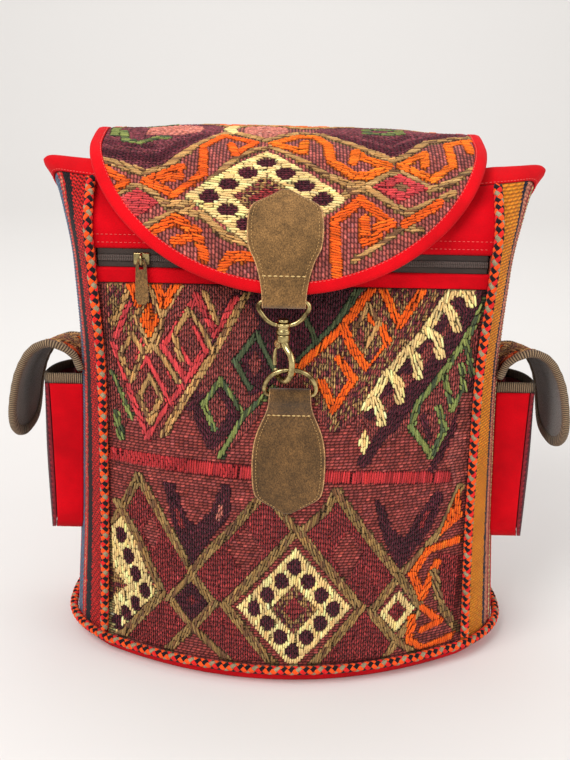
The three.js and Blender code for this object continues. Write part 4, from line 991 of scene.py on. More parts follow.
def strand_runs(columns, low, high, look):
    """Middle, length, dye and lean of each strand. A column stands at a and runs from low to high."""
    along = np.arange(low.min(), high.max(), SAMPLE)
    a, b = np.meshgrid(columns, along, indexing="ij")
    dye, raised, lean = look(a, b)
    raised &= (b > low[:, None]) & (b < high[:, None])
    code = np.where(raised, dye * 3 + lean.astype(int) + 1, -1)
    strands = []
    for i, column in enumerate(columns):
        ends = np.concatenate(([0], np.flatnonzero(np.diff(code[i])) + 1, [len(along)]))
        for start, stop in zip(ends[:-1], ends[1:]):
            if code[i, start] < 0 or stop - start < 3:
                continue
            run = (stop - start) * SAMPLE
            count = max(1, round(run / (BOLD_LONG if dye[i, start] in bold_dyes else FINE_LONG)))
            joints = np.arange(count + 1) / count
            if count > 1 and i % 2 == 1:
                joints = np.concatenate([[0], (np.arange(count) + 0.5) / count, [1]])
            for k, (low_end, high_end) in enumerate(zip(joints[:-1], joints[1:])):
                if dice.random() < MISSING_SHARE:
                    continue
                way = lean[i, start] if lean[i, start] else 0.4 * (-1) ** k
                middle = along[start] + run * (low_end + high_end) / 2
                strands.append((column, middle, run * (high_end - low_end), dye[i, start], way * STRAND_LEAN))
    return np.array(strands)


def strand_model(angles, stations, fullness):
    """One closed strand: rings of points at stations from -1 to 1, with the faces between them."""
    rings, corners = len(stations), len(angles)
    at = np.arange(rings * corners).reshape(rings, corners)
    turned = np.roll(at, -1, 1)
    sides = np.stack([at[:-1], at[1:], turned[1:], turned[:-1]], -1).reshape(-1, 4)
    ends = np.stack([at[0], at[-1][::-1]])
    return np.radians(angles), np.array(stations), np.array(fullness), sides, ends


bold_strand = strand_model([-14, 42, 90, 138, 194], [-1, -0.66, 0.66, 1], [0.34, 1, 1, 0.34])
fine_strand = strand_model([-14, 90, 194], [-1, 0, 1], [0.45, 1, 0.45])


def wrapped_stitches(name, strands, surface, model, wide, tall, spread):
    """One closed strand of wool for each run; surface(a, b, height) places every point."""
    angle, stations, fullness, sides, ends = model
    a, b, run, dye, lean = strands.T[:, :, None, None]
    s, full = stations[None, :, None], fullness[None, :, None]
    half = run * 0.56 * dice.uniform(0.95, 1.06, a.shape)
    along = half * s + 0 * angle
    across = lean * dice.uniform(0.4, 1.6, a.shape) * along
    across = across + wide / 2 * dice.uniform(0.92, 1.1, a.shape) * full * np.cos(angle)
    height = tall * dice.uniform(0.85, 1.15, a.shape) * full * (0.25 + 0.75 * np.sin(angle))
    points = surface(a + across, b + along + dice.normal(0, 0.25, a.shape), height).reshape(-1, 3)
    count = len(strands)
    first = np.arange(count)[:, None, None] * len(stations) * len(angle)
    faces = (first + sides).reshape(-1, 4).tolist() + (first + ends).reshape(-1, len(angle)).tolist()
    tone = hand_dyed(dye.ravel().astype(int), spread)
    tones = np.concatenate([np.repeat(tone, len(sides), axis=0), np.repeat(tone, 2, axis=0)])
    # painted shade: the pile is highest on each strand's crown and lower on its sides and tapered ends, which
    # the shader darkens
    crown = 0.06 + 0.94 * np.clip(np.sin(angle), 0, 1)
    pile = np.broadcast_to(full * crown + 0 * a, along.shape)
    uv = flat_map(a + across * 1.4, b + along)
    piece = new_piece(name, points, faces, strand_wool, uv=uv, dye=tones, pile=pile.ravel())
    print(name, count, "strands")
    return piece


def both_stitches(name, strands, surface):
    """The long bold strands of the motifs and the short fine ones between them, as two pieces."""
    bold = np.isin(strands[:, 3].astype(int), bold_dyes)
    return (
        wrapped_stitches(name + "_bold", strands[bold], surface, bold_strand, **BOLD_LOOK),
        wrapped_stitches(name + "_fine", strands[~bold], surface, fine_strand, **FINE_LOOK),
    )


# %% [markdown]
# ## The front panel
# The ground is a sheet with real thickness that bulges with the bag's front. The strands stand on
# it upright. Under the suede tab there are none, since the tab lies flat on the cloth there.

# %% Weave the front
FRONT_STEP = 1.27
FRONT_WIDE = 300
EDGE_TRIM = 0.0008
TAB_SHADOW_HALF = 22
TAB_SHADOW_LOW = 168
TAB_SHADOW_HIGH = 248
SEAM_GAP = 0.15
front_columns = round(FRONT_WIDE / FRONT_STEP) + 1
front_rows = round((KILIM_TOP - SEAM_Z) / FRONT_STEP) // 2 * 2 + 1
front_t = np.linspace(EDGE_TRIM, 1 - EDGE_TRIM, front_columns)[None, :] + np.zeros((front_rows, 1))
front_z = np.linspace(SEAM_Z + SEAM_GAP, KILIM_TOP - SEAM_GAP, front_rows)[:, None] + 0 * front_t
front_x = (2 * front_t - 1) * station(CORNER_HALF, front_z)
from_seams = np.clip(np.minimum(front_z - SEAM_Z, KILIM_TOP - front_z) / 9, 0, 1)
from_corners = np.clip(np.minimum(front_t, 1 - front_t) / 0.03, 0, 1)
front_z = front_z + 0.8 * (from_seams * from_corners) * ripple(front_x / 13, front_z / 11, 17)


def front_look(x, z):
    dye, raised, lean = weave(x, z, "mauve", front_drawing)
    under_tab = (np.abs(x) < TAB_SHADOW_HALF) & (z > TAB_SHADOW_LOW) & (z < TAB_SHADOW_HIGH)
    return dye, raised & ~under_tab, lean


def front_swell(x, z):
    edge_hold = np.clip((station(CORNER_HALF, z) - np.abs(x)) / 6, 0, 1)
    return 0.5 * ripple(x / 26, z / 30, 3) * edge_hold


def front_surface(x, z, height):
    t = np.clip(0.5 + x / (2 * station(CORNER_HALF, z)), EDGE_TRIM, 1 - EDGE_TRIM)
    return wall(FRONT, t, z, -(height + front_swell(x, z)))


front_pile = ground_relief(front_rows, front_columns, seed=11)
front_tone = ground_tones(front_x, front_z, front_look)
front_upper = front_surface(front_x, front_z, 0.9 * front_pile - 0.6)
front_lower = wall(FRONT, front_t, front_z, KILIM_THICK)
kilim_front = sheet("kilim_front", front_upper, front_lower, rug_wool, flat_map(front_z, front_x), front_tone,
                    front_pile, (12, 12))
stands_for(kilim_front, "kilim_wool", "front_panel")
front_stitch_at = np.arange(-143, 143.1, STRAND_PITCH)
stitch_low = np.full(len(front_stitch_at), SEAM_Z + 4.0)
stitch_high = np.full(len(front_stitch_at), KILIM_TOP - 1.0)
front_strands = strand_runs(front_stitch_at, stitch_low, stitch_high, front_look)
for stitches in both_stitches("kilim_stitches", front_strands, front_surface):
    stands_for(stitches, "kilim_wool")

# %% [markdown]
# ## The flap
# The flap comes from a rug of the same family, turned so that its stitches lie across. It hangs
# from the back seam, over the mouth, to a round tip, and its shoulders sink a little. Its cut
# edge hides under the red binding.

# %% Flap surface
FLAP_X = -5
FLAP_HALF = 152
FLAP_ROUND = 136
FLAP_BINDING = 9
FLAP_LINING = 1
FLAP_CROWN = 16.5
FLAP_DROOP = 7
DROOP_FROM = 15
DROOP_LONG = 100
GAP = 0.3
flap_thick = KILIM_THICK + GAP + FLAP_LINING
flap_tail = BACK_Y + GAP + flap_thick + 0.6
flap_line, flap_length = smooth_curve([
    (flap_tail, MOUTH_Z - 22), (flap_tail, MOUTH_Z - 7), (flap_tail - 1, MOUTH_Z + 8),
    (BACK_Y - 8, MOUTH_Z + FLAP_CROWN - 4.5), (BACK_Y - 38, MOUTH_Z + FLAP_CROWN),
    (BACK_Y - 88, MOUTH_Z + FLAP_CROWN - 0.5), (-45, MOUTH_Z + 3), (-80, MOUTH_Z - 34),
    (-95, ZIP_Z + 2), (-101, KILIM_TOP + 1)], 1200)
FLAP_LONG = flap_length[-1]
flap_slope = unit(np.gradient(flap_line, axis=0))


def flap_at(u, l, depth):
    """A point of the flap: u across, l along it from the back seam, depth below its face."""
    u, l, depth = np.broadcast_arrays(*(np.asarray(a, float) for a in (u, l, depth)))
    held = np.clip(l, 0, FLAP_LONG)
    along_y, along_z = (np.interp(held, flap_length, flap_slope[:, k]) for k in (0, 1))
    y = np.interp(held, flap_length, flap_line[:, 0]) + along_y * (l - held)
    z = np.interp(held, flap_length, flap_line[:, 1]) + along_z * (l - held)
    share = np.clip((l - DROOP_FROM) / DROOP_LONG, 0, 1)
    droop = FLAP_DROOP * smooth_step(np.abs(u), FLAP_HALF / 2, FLAP_HALF) * np.sin(math.pi * share) ** 2
    return np.stack([FLAP_X + u, y - along_z * depth, z + along_y * depth - droop], -1)


def flap_half_width(l, inset):
    """Half the flap's width at a distance along it, within an inset from its edge."""
    start = FLAP_LONG - FLAP_ROUND
    reach = FLAP_ROUND - inset
    share = np.clip((np.asarray(l, float) - start) / reach, 0, 1)
    return (FLAP_HALF - inset) * np.sqrt(np.maximum(1 - share**2, 0))


# %% The drawing on the flap, u across and l up from the tip
flap_fields = [
    field("plum", (-152, 200), (-152, 106), (-128, 100), (-105, 92), (-88, 100), (-72, 124), (-58, 146),
          (-48, 200)),
    field("plum", (14, 200), (26, 158), (42, 142), (78, 111), (106, 144), (150, 162), (150, 200)),
    field("pink", (-112, 240), (-112, 152), (-84, 152), (-70, 162), (-60, 240)),
    field("pink", (-44, 240), (-34, 156), (-18, 146), (-2, 158), (6, 240)),
    field("blush", (-152, 240), (-152, 176), (150, 176), (150, 240)),
    line("purple", 9, (-146, 118), (-120, 110), (-98, 108), (-84, 128), (-66, 152)),
    line("purple", 8, (-140, 132), (-104, 124)),
    line("purple", 9, (36, 158), (54, 142), (78, 122), (98, 144), (130, 166)),
    line("purple", 8, (62, 156), (78, 140), (92, 158)),
]
flap_tans = [
    line("tan", 7, (-148, 108), (-128, 101), (-105, 92), (-90, 99), (-75, 120), (-60, 143), (-50, 158),
          (-40, 158), (-18, 141), (-2, 155), (10, 163), (25, 158), (42, 142), (60, 124), (78, 110),
          (90, 118), (106, 142), (122, 150), (150, 160)),
    *lines("tan", 6,
           [(-132, 70), (-118, 80), (-105, 80), (-90, 66), (-70, 67), (-56, 88), (-40, 108), (-28, 120),
            (-14, 127), (2, 114), (30, 93), (46, 85), (60, 86), (76, 98), (86, 97), (105, 83), (120, 89),
            (148, 110)],
           [(-112, 46), (-100, 50), (-80, 62), (-62, 58), (-45, 43), (-26, 36), (0, 16)],
           [(16, 52), (28, 64), (46, 80), (60, 82), (76, 70), (88, 63), (102, 70), (122, 80)]),
    line("tan", 5, (50, 27), (70, 40), (86, 52), (98, 50)),
]
flap_hooks = [
    field("rose", *diamond(-111, 67, 17, 12)),
    field("rose", *diamond(83, 84, 21, 12)),
    field("brown", *diamond(84, 84, 7, 4)),
    *lines("orange", 7,
           [(-142, 100), (-120, 84), (-132, 74)],
           [(-80, 90), (-92, 87), (-80, 99), (-106, 85), (-84, 74), (-63, 93), (-65, 126), (-50, 150),
            (-26, 135), (-40, 114), (-44, 130)]),
    *lines("amber", 8,
           [(-12, 134), (8, 152), (22, 150), (30, 132), (32, 108), (48, 94), (60, 94), (75, 104),
            (57, 112), (51, 122), (49, 108)],
           [(-10, 132), (11, 120), (12, 138)]),
    *lines("amber", 7,
           [(102, 106), (103, 121), (84, 104), (108, 92), (123, 106), (122, 138), (142, 150)],
           [(138, 126), (137, 146)]),
    line("orange", 8, (-97, 45), (-82, 55), (-66, 45), (-60, 27)),
    line("orange", 7, (-82, 38), (-72, 40)),
    *lines("orange", 8,
           [(-47, 18), (-42, 27), (-26, 27)], [(37, 14), (35, 56), (54, 73), (76, 54), (66, 51)],
           [(57, 57), (57, 41), (66, 44)]),
    line("orange", 7, (86, 54), (100, 63), (112, 72)),
    *lines("green", 7,
           [(-130, 158), (-126, 136), (-114, 132), (-100, 144), (-94, 144)], [(-138, 176), (-136, 148)]),
    line("green", 9, (62, 168), (76, 164), (88, 168)),
    line("cream", 9, (-48, 176), (-44, 162)),
]
flap_drawing = flap_fields + flap_tans + flap_hooks + dotted_diamond(-16, 73, 60, 46, 7.6, 5.2)
print("flap motifs:", len(flap_drawing))

# %% Weave the flap
HIDDEN_EDGE = 4
PATTERN_TURN = 176
FLAP_STEP = 1.3
FLAP_TAB_HALF = 20
FLAP_TAB_LONG = 74
RUG_THICK = 2.6
seen_half = FLAP_HALF - HIDDEN_EDGE
flap_columns = round(2 * seen_half / FLAP_STEP) // 2 * 2 + 1
flap_rows = round((FLAP_LONG - HIDDEN_EDGE - 1) / FLAP_STEP) + 1
flap_u = np.linspace(-seen_half, seen_half, flap_columns)[:, None] + np.zeros((1, flap_rows))
flap_l = np.linspace(1, FLAP_LONG - HIDDEN_EDGE, flap_rows)[None, :] + np.zeros((flap_columns, 1))


def flap_look(l, u):
    """The drawing repeats backwards behind the crest, where the photograph does not reach."""
    up_from_tip = FLAP_LONG - l
    folded_up = np.where(up_from_tip > PATTERN_TURN, 2 * PATTERN_TURN - up_from_tip, up_from_tip)
    dye, raised, lean = weave(u, folded_up, "blush", flap_drawing)
    under_tab = (np.abs(u + 1) < FLAP_TAB_HALF) & (up_from_tip < FLAP_TAB_LONG)
    return dye, raised & ~under_tab, -lean * np.where(up_from_tip > PATTERN_TURN, -1, 1)


def flap_surface(l, u, height):
    room = np.minimum(flap_half_width(l, HIDDEN_EDGE) - np.abs(u), FLAP_LONG - HIDDEN_EDGE - l)
    held = np.clip(room / 7, 0, 1)
    swell = 0.8 * ripple(u / 30, l / 24, 5) * held
    return flap_at(u, l, 0.9 - 0.6 * held - height * held - swell)


def cut_rug(name, points, u, l, half_width, edge, tone, pile):
    """A woven grid cut along a flap's outline: the cells whose middle lies inside it stay."""
    cells = lattice(*u.shape)
    middle_u, middle_l = (grid.ravel()[cells].mean(1) for grid in (u, l))
    kept = np.abs(middle_u) < half_width(middle_l, edge)
    used = np.unique(cells[kept])
    renumber = np.zeros(u.size, int)
    renumber[used] = np.arange(len(used))
    return new_piece(name, points.reshape(-1, 3)[used], renumber[cells[kept]], rug_wool,
                     uv=flat_map(u, l)[used], dye=tone.reshape(-1, 3)[kept], pile=pile.ravel()[used])


flap_pile = ground_relief(flap_columns, flap_rows, seed=12)
flap_tone = ground_tones(flap_l, flap_u, flap_look)
flap_points = flap_surface(flap_l, flap_u, 0.75 * flap_pile)
kilim_flap = cut_rug("kilim_flap", flap_points, flap_u, flap_l, flap_half_width, HIDDEN_EDGE,
                     flap_tone, flap_pile)
apply_modifier(kilim_flap, "SOLIDIFY", thickness=RUG_THICK * MM, offset=-1)
stands_for(kilim_flap, "kilim_wool", "flap")
flap_stitch_at = np.arange(6, FLAP_LONG - FLAP_BINDING, STRAND_PITCH)
flap_reach = flap_half_width(flap_stitch_at, FLAP_BINDING - 1)
flap_strands = strand_runs(flap_stitch_at, -flap_reach, flap_reach, flap_look)
for stitches in both_stitches("flap_stitches", flap_strands, flap_surface):
    stands_for(stitches, "kilim_wool")

# %% Flap lining
lining_l = np.linspace(2, FLAP_LONG - 3, 60)[:, None]
lining_share = np.linspace(1, -1, 41)[None, :]
lining_u = lining_share * np.maximum(flap_half_width(lining_l, 6), 6)
lining_wave = 0.12 * ripple(lining_u / 18, lining_l / 20, 9)
lining_top = flap_at(lining_u, lining_l, KILIM_THICK + GAP - 0.2 + lining_wave)
lining_under = flap_at(lining_u, lining_l, flap_thick + lining_wave)
flap_inside = sheet("flap_inside", lining_top, lining_under, dark_lining, flat_map(lining_u, lining_l))
stands_for(flap_inside, "lining_cloth", "flap_lining")
print("flap:", len(kilim_flap.data.polygons), "faces, lining", len(flap_inside.data.polygons))

# %% [markdown]
# ## Bindings
# A bias strip of red cotton is folded over each raw edge and sewn down. Its section is a flat
# roll. It follows the flap's outline and the mouth, and puckers a little between the stitches.

# %% Flap binding
EDGE_COUNT = 420
flap_fold = [
    (9.2, -0.2), (8.6, -0.95), (6.5, -1.25), (3.5, -1.2), (1.2, -0.6), (0.1, 0.9), (-0.1, 2.6),
    (0.2, 4.4), (1.4, 5.8), (4.0, 6.3), (7.0, 6.3), (9.0, 5.9), (9.4, 5.2), (8.2, 4.6), (8.2, 0.6),
]


def flap_outline(inset, count):
    """Points of the flap's edge, inset by a distance, from one back end round the tip to the other."""
    start = FLAP_LONG - FLAP_ROUND
    straight = np.linspace(0, start, count // 4, endpoint=False)
    angle = np.linspace(0, math.pi, count)
    u = np.concatenate([np.full(len(straight), FLAP_HALF - inset), (FLAP_HALF - inset) * np.cos(angle),
                        np.full(len(straight), inset - FLAP_HALF)])
    l = np.concatenate([straight, start + (FLAP_ROUND - inset) * np.sin(angle), straight[::-1]])
    return u, l


def pucker(lengths, k, fine, slow, slow_mm, seed):
    """Gathers between the stitches and slow waves, for corner k of a fold."""
    return fine * ripple(lengths / 2.1, k / 4, seed) + slow * ripple(lengths / slow_mm, k / 9, seed + 1)


def folded_strip(name, rings, lengths, fold, material):
    """A strip folded over an edge, from one line of points for each corner of the fold."""
    uv = flat_map(lengths[:, None], along_lengths(np.array(fold))[None, :])
    return swept(name, np.stack(rings, 1), material, uv)


edge_s = along_lengths(np.stack(flap_outline(0, EDGE_COUNT), -1))
rings = []
for k, (inset, depth) in enumerate(flap_fold):
    u, l = flap_outline(inset, EDGE_COUNT)
    gathers = pucker(edge_s, k, fine=0.16, slow=0.3, slow_mm=16, seed=21)
    rings.append(flap_at(u, l, depth + gathers * (1 if depth < 2 else -0.5)))
flap_edging = folded_strip("flap_edging", rings, edge_s, flap_fold, red_binding)
stands_for(flap_edging, "red_cloth", "flap_binding")
print("flap binding:", len(flap_edging.data.polygons), "faces")

# %% Mouth binding
mouth_fold = [
    (-10.3, -0.4), (-9.2, -1.1), (-6, -1.4), (-2.5, -1.2), (-0.4, 0.2), (0.2, 2.1), (-0.4, 4.2),
    (-2.5, 5.4), (-6, 5.6), (-9.4, 5.3), (-10.2, 4.6), (-9.4, 4.0), (-9.4, 0.4),
]
MOUTH_SHARES = {
    LEFT: np.linspace(0.02, 1, 90, endpoint=False),
    FRONT: np.linspace(0, 1, 140, endpoint=False),
    RIGHT: np.linspace(0, 0.98, 91),
}


def mouth_ring(rise, depth):
    """The line of the mouth from one back end round to the other, moved up and inwards."""
    return np.concatenate([wall(edge, t, mouth_z(edge, t) + rise, depth) for edge, t in MOUTH_SHARES.items()])


mouth_s = along_lengths(mouth_ring(0, 0))
rings = []
for k, (rise, depth) in enumerate(mouth_fold):
    gathers = pucker(mouth_s, k, fine=0.14, slow=0.25, slow_mm=18, seed=23)
    lift = gathers[:, None] * np.array([0, 0, 1.0]) * (1 if rise > -8 else 0.2)
    rings.append(mouth_ring(rise, depth) + lift)
mouth_edging = folded_strip("mouth_edging", rings, mouth_s, mouth_fold, red_binding)
stands_for(mouth_edging, "red_cloth", "mouth_binding")
print("mouth binding:", len(mouth_edging.data.polygons), "faces")

# %% [markdown]
# ## Stitches
# A sewn stitch is a short raised bead of thread. One bead is modelled from a sphere, and copies
# of it are set along a seam, each turned with the seam.

# %% One bead, and rows of it
bpy.ops.object.select_all(action="DESELECT")
bpy.ops.mesh.primitive_uv_sphere_add(segments=6, ring_count=5, radius=0.5)
bead_model = bpy.context.object
bead_points = np.array([v.co for v in bead_model.data.vertices])
bead_x, bead_y, bead_z = bead_points.T[:, :, None]
bead_faces = sorted(list(p.vertices) for p in bead_model.data.polygons)
bpy.data.objects.remove(bead_model)


def stitch_row(path, outs, pitch, long, thick, slant=0.0):
    """Points and faces of beads along a path; outs says which way the cloth faces there."""
    path = np.asarray(path, float)
    length = along_lengths(path)
    outs = np.broadcast_to(np.asarray(outs, float), path.shape)
    parts = []
    for s in np.arange(pitch / 2, length[-1], pitch):
        centre = np.array([np.interp(s, length, path[:, k]) for k in range(3)])
        near = max(min(np.searchsorted(length, s), len(path) - 1), 1)
        along = unit(path[near] - path[near - 1])
        out = unit(np.array([np.interp(s, length, outs[:, k]) for k in range(3)]))
        side = unit(np.cross(out, along))
        along = unit(along + side * slant)
        side = np.cross(out, along)
        scaled = bead_z * along * long + bead_x * side * thick + bead_y * out * thick
        parts.append((centre + scaled, bead_faces))
    return merged(parts)


def sewn(name, rows, thread, slot):
    """Rows of beads as one piece of thread."""
    points, faces = merged(rows)
    return stands_for(new_piece(name, points, faces, thread), slot)


edge_in_u, edge_in_l = flap_outline(8.3, 300)
edge_row = flap_at(edge_in_u, edge_in_l, -1.02)
edge_out = unit(flap_at(edge_in_u, edge_in_l, -2) - flap_at(edge_in_u, edge_in_l, 0))
edge_beads = stitch_row(edge_row, edge_out, pitch=3.2, long=2.1, thick=0.55)
flap_sewing = sewn("flap_sewing", [edge_beads], red_thread, "red_cloth")
mouth_row = mouth_ring(-8.8, -1.25)
mouth_out = unit(mouth_ring(-8.8, -2) - mouth_ring(-8.8, 0))
mouth_beads = stitch_row(mouth_row, mouth_out, pitch=3.2, long=2.1, thick=0.5)
sewn("mouth_sewing", [mouth_beads], red_thread, "red_cloth")
print("stitches in the flap's binding:", len(flap_sewing.data.vertices) // len(bead_points))

# %% [markdown]
# ## Striped sides
# The sides are cut from a striped flat-weave. The stripes run up, and thick weft makes fine ribs
# across. The ears at the mouth flare out and show more stripes.

# %% Weave the sides
SIDE_ROW = 1.25
SIDE_COLUMNS = 125
SIDE_TRIM = 0.0016
FLECKED_WIDE = 24
# The broad amber stripes use the lightened amber dye: painted light.
left_stripes = [
    ("scarlet", 24), ("black", 9), ("scarlet", 3), ("salmon", 2), ("scarlet", 3), ("blue", 17),
    ("scarlet", 6), ("black", 5), ("lit_amber", 18), ("black", 3), ("salmon", 12), ("scarlet", 16),
    ("navy", 6), ("cream", 5), ("red", 30), ("lit_amber", 40),
]
right_stripes = [
    ("lit_amber", 31), ("navy", 4), ("salmon", 6), ("red", 5), ("cream", 3), ("brown", 5), ("scarlet", 8),
    ("navy", 6), ("blue", 8), ("red", 18), ("tan", 10), ("purple", 9), ("lit_amber", 24), ("navy", 6),
    ("red", 60),
]


def stripe_dyes(distance, stripes):
    marks = np.cumsum([width for _, width in stripes])
    which = np.minimum(np.searchsorted(marks, distance), len(stripes) - 1)
    return np.array([dye_number(colour) for colour, _ in stripes])[which]


def panel_top(edge, t):
    return mouth_z(edge, t) - BINDING - 2 * GAP


def striped_side(name, edge, stripes, node, seed):
    """A side woven in stripes that are measured from the front corner."""
    columns = SIDE_COLUMNS
    rows = round((MOUTH_Z - BINDING - SEAM_Z) / SIDE_ROW) + 1
    t = np.linspace(SIDE_TRIM, 1 - SIDE_TRIM, columns)[None, :] + np.zeros((rows, 1))
    low = SEAM_Z + GAP / 2
    z = low + (panel_top(edge, t) - low) * np.linspace(0, 1, rows)[:, None]
    flat = wall(edge, t, z, 0)
    steps = np.linalg.norm(np.diff(flat, axis=1), axis=-1)
    distance = np.concatenate([np.zeros((rows, 1)), np.cumsum(steps, 1)], 1)
    if edge == LEFT:
        distance = distance[:, -1:] - distance
    cell_distance = (distance[:-1, :-1] + distance[1:, 1:]) / 2
    cell_distance = cell_distance + dice.normal(0, 0.35, (rows - 1, columns - 1))
    tone = hand_dyed(stripe_dyes(cell_distance, stripes), 0.14)
    flecked = (cell_distance < FLECKED_WIDE) & (edge == LEFT)
    fleck = (np.arange(rows - 1)[:, None] + np.arange(columns - 1)[None, :]) % 3 == 0
    tone[flecked & fleck] *= 0.15
    row = np.arange(rows)[:, None]
    column = np.arange(columns)[None, :]
    # The pile shapes the ribs and also gives painted shade in the gaps between them.
    pile = np.where((column // 2 + row // 2) % 2 == 0, 1.0, 0.55) * np.where(row % 2 == 1, 1.0, 0.1)
    pile = pile * np.random.default_rng(seed).uniform(0.85, 1.1, pile.shape)
    hold = np.clip(np.minimum(t, 1 - t) / 0.05, 0, 1)
    swell = ripple(distance / 24, z / 34, seed) * hold
    upper = wall(edge, t, z, 0.3 - 0.7 * pile - swell * 0.3)
    lower = wall(edge, t, z, KILIM_THICK)
    piece = sheet(name, upper, lower, stripe_wool, flat_map(distance, z), tone, pile, (12, 8))
    stands_for(piece, "striped_wool", node)
    return piece


stripes_right = striped_side("stripes_right", RIGHT, right_stripes, "side_panel_right", seed=31)
stripes_left = striped_side("stripes_left", LEFT, left_stripes, "side_panel_left", seed=32)
print("striped sides:", len(stripes_right.data.polygons), len(stripes_left.data.polygons))

# %% [markdown]
# ## Red cotton panels
# The yoke above the zip, the facing below it, the back and the base are plain red cotton. They
# are soft sheets with a rolled fold at the zip and slow waves where the cloth is slack.

# %% Yoke, facing, back
ZIP_TAPE_HALF = 7
CLOTH_THICK = 2.5
zip_low = ZIP_Z - ZIP_TAPE_HALF
zip_high = ZIP_Z + ZIP_TAPE_HALF


def cotton_band(name, node, edge, low, high, rows, columns, bulge, waves, seed):
    """A cotton sheet on a wall; bulge(share of height) moves it outwards, waves sets its slackness."""
    t = np.linspace(EDGE_TRIM, 1 - EDGE_TRIM, columns)[None, :] + np.zeros((rows, 1))
    v = np.linspace(0, 1, rows)[:, None]
    top = high(t) if callable(high) else high
    z = low + (top - low) * v + 0 * t
    flat = wall(edge, t, z, 0)
    hold = np.clip(np.minimum(t, 1 - t) / 0.03, 0, 1) * np.sin(math.pi * v) ** 0.5
    out = bulge(v) + waves * ripple(flat[..., 0] / 16, z / 14, seed) * hold
    uv = flat_map(flat[..., 0] + flat[..., 1], z)
    piece = sheet(name, wall(edge, t, z, -out), wall(edge, t, z, CLOTH_THICK), red_cotton, uv, steps=(4, 4))
    stands_for(piece, "red_cloth", node)


def rolled(v):
    """The facing's upper edge bulges and turns in towards the zip."""
    return 1.5 * v**2 - 0.4 * (1 - v) ** 4 - 3.4 * np.clip((v - 0.86) / 0.14, 0, 1) ** 3


def yoke_roll(v):
    return 0.6 - 1.6 * np.clip((0.05 - v) / 0.05, 0, 1) ** 2


cotton_band("cotton_facing", "zip_facing", FRONT, KILIM_TOP + SEAM_GAP, zip_low - SEAM_GAP,
            rows=17, columns=181, bulge=rolled, waves=0.35, seed=41)
cotton_band("cotton_yoke", "front_yoke", FRONT, zip_high + SEAM_GAP, lambda t: panel_top(FRONT, t),
            rows=41, columns=181, bulge=yoke_roll, waves=0.6, seed=42)
cotton_band("cotton_back", "back_panel", BACK, SEAM_Z + SEAM_GAP, MOUTH_Z - 7,
            rows=81, columns=81, bulge=lambda v: 0 * v, waves=0.0, seed=43)
yoke_rows = []
for height in (5, 11):
    t = np.linspace(0.01, 0.99, 160)
    z = np.full_like(t, zip_high + height)
    row_out = unit(wall(FRONT, t, z, -1) - wall(FRONT, t, z, 0))
    yoke_rows.append(stitch_row(wall(FRONT, t, z, -0.75), row_out, pitch=3.4, long=2.2, thick=0.5))
sewn("yoke_sewing", yoke_rows, red_thread, "red_cloth")
print("yoke, facing and back made")

# %% The base
TRAY_COUNTS = (96, 56, 64, 56)
TRAY_RINGS = [
    (6, 0.05), (4.2, 0.5), (2.6, 2.4), (1.0, 5.5), (0.2, 9), (0.0, 12), (0.1, SEAM_Z - 0.3),
    (1.4, SEAM_Z - 0.15), (3.0, SEAM_Z - 0.3), (3.2, 9), (8.8, 3.4),
]


def shell_ring(depth, height, counts):
    """A ring round the bag at one depth and height; None stands for just under the mouth's binding."""
    points = []
    for edge, count in zip((FRONT, RIGHT, BACK, LEFT), counts):
        t = np.linspace(0, 1, count, endpoint=False)
        z = mouth_z(edge, t) - BINDING - 1 if height is None else np.full(count, float(height))
        points.append(wall(edge, t, z, depth))
    return np.concatenate(points)


def base_ring(depth, z, counts):
    """The ring at the bottom seam, set to another height."""
    ring = shell_ring(depth, SEAM_Z, counts)
    ring[:, 2] = z
    return ring


rings = np.stack([base_ring(depth, z, TRAY_COUNTS) for depth, z in TRAY_RINGS])
slack = 0.35 * ripple(rings[..., 0] / 15, rings[..., 1] / 15, 51)
rings[3:6, :, 2] += slack[3:6]
tray_uv = flat_map(along_lengths(rings[4])[None, :], np.arange(len(TRAY_RINGS))[:, None] * 4.0)
cotton_base = swept("cotton_base", rings, red_cotton, tray_uv)
stands_for(cotton_base, "red_cloth", "bottom_panel")
print("base:", len(cotton_base.data.polygons), "faces")

# %% [markdown]
# ## Plaited cord
# A round plait of six yarns covers the corner seams and the bottom seam: flame and scarlet turn
# one way, black and beige the other, each over one and under the next. Every yarn is a thin tube
# on a helix whose radius swings out and in.

# %% Plaits
BRAID_RADIUS = 3.8
PLAIT_PITCH = 18
PLAIT_CORNERS = 8
YARN_RADIUS = 1.9
YARN_FLAT = 0.5
YARNS = [
    ("flame", 1, 0), ("scarlet", 1, 1), ("flame", 1, 2), ("black", -1, 0), ("beige", -1, 1),
    ("black", -1, 2),
]


def yarn_rings(path, radial):
    """Rings of a flattened yarn along a path; radial points away from the cord's middle."""
    along = unit(np.gradient(path, axis=0))
    side = unit(np.cross(along, radial))
    lift = np.cross(side, along)
    angle = np.linspace(0, 2 * math.pi, PLAIT_CORNERS, endpoint=False)[None, :, None]
    ring = side[:, None] * np.cos(angle) + lift[:, None] * (np.sin(angle) * YARN_FLAT)
    return path[:, None] + ring * YARN_RADIUS


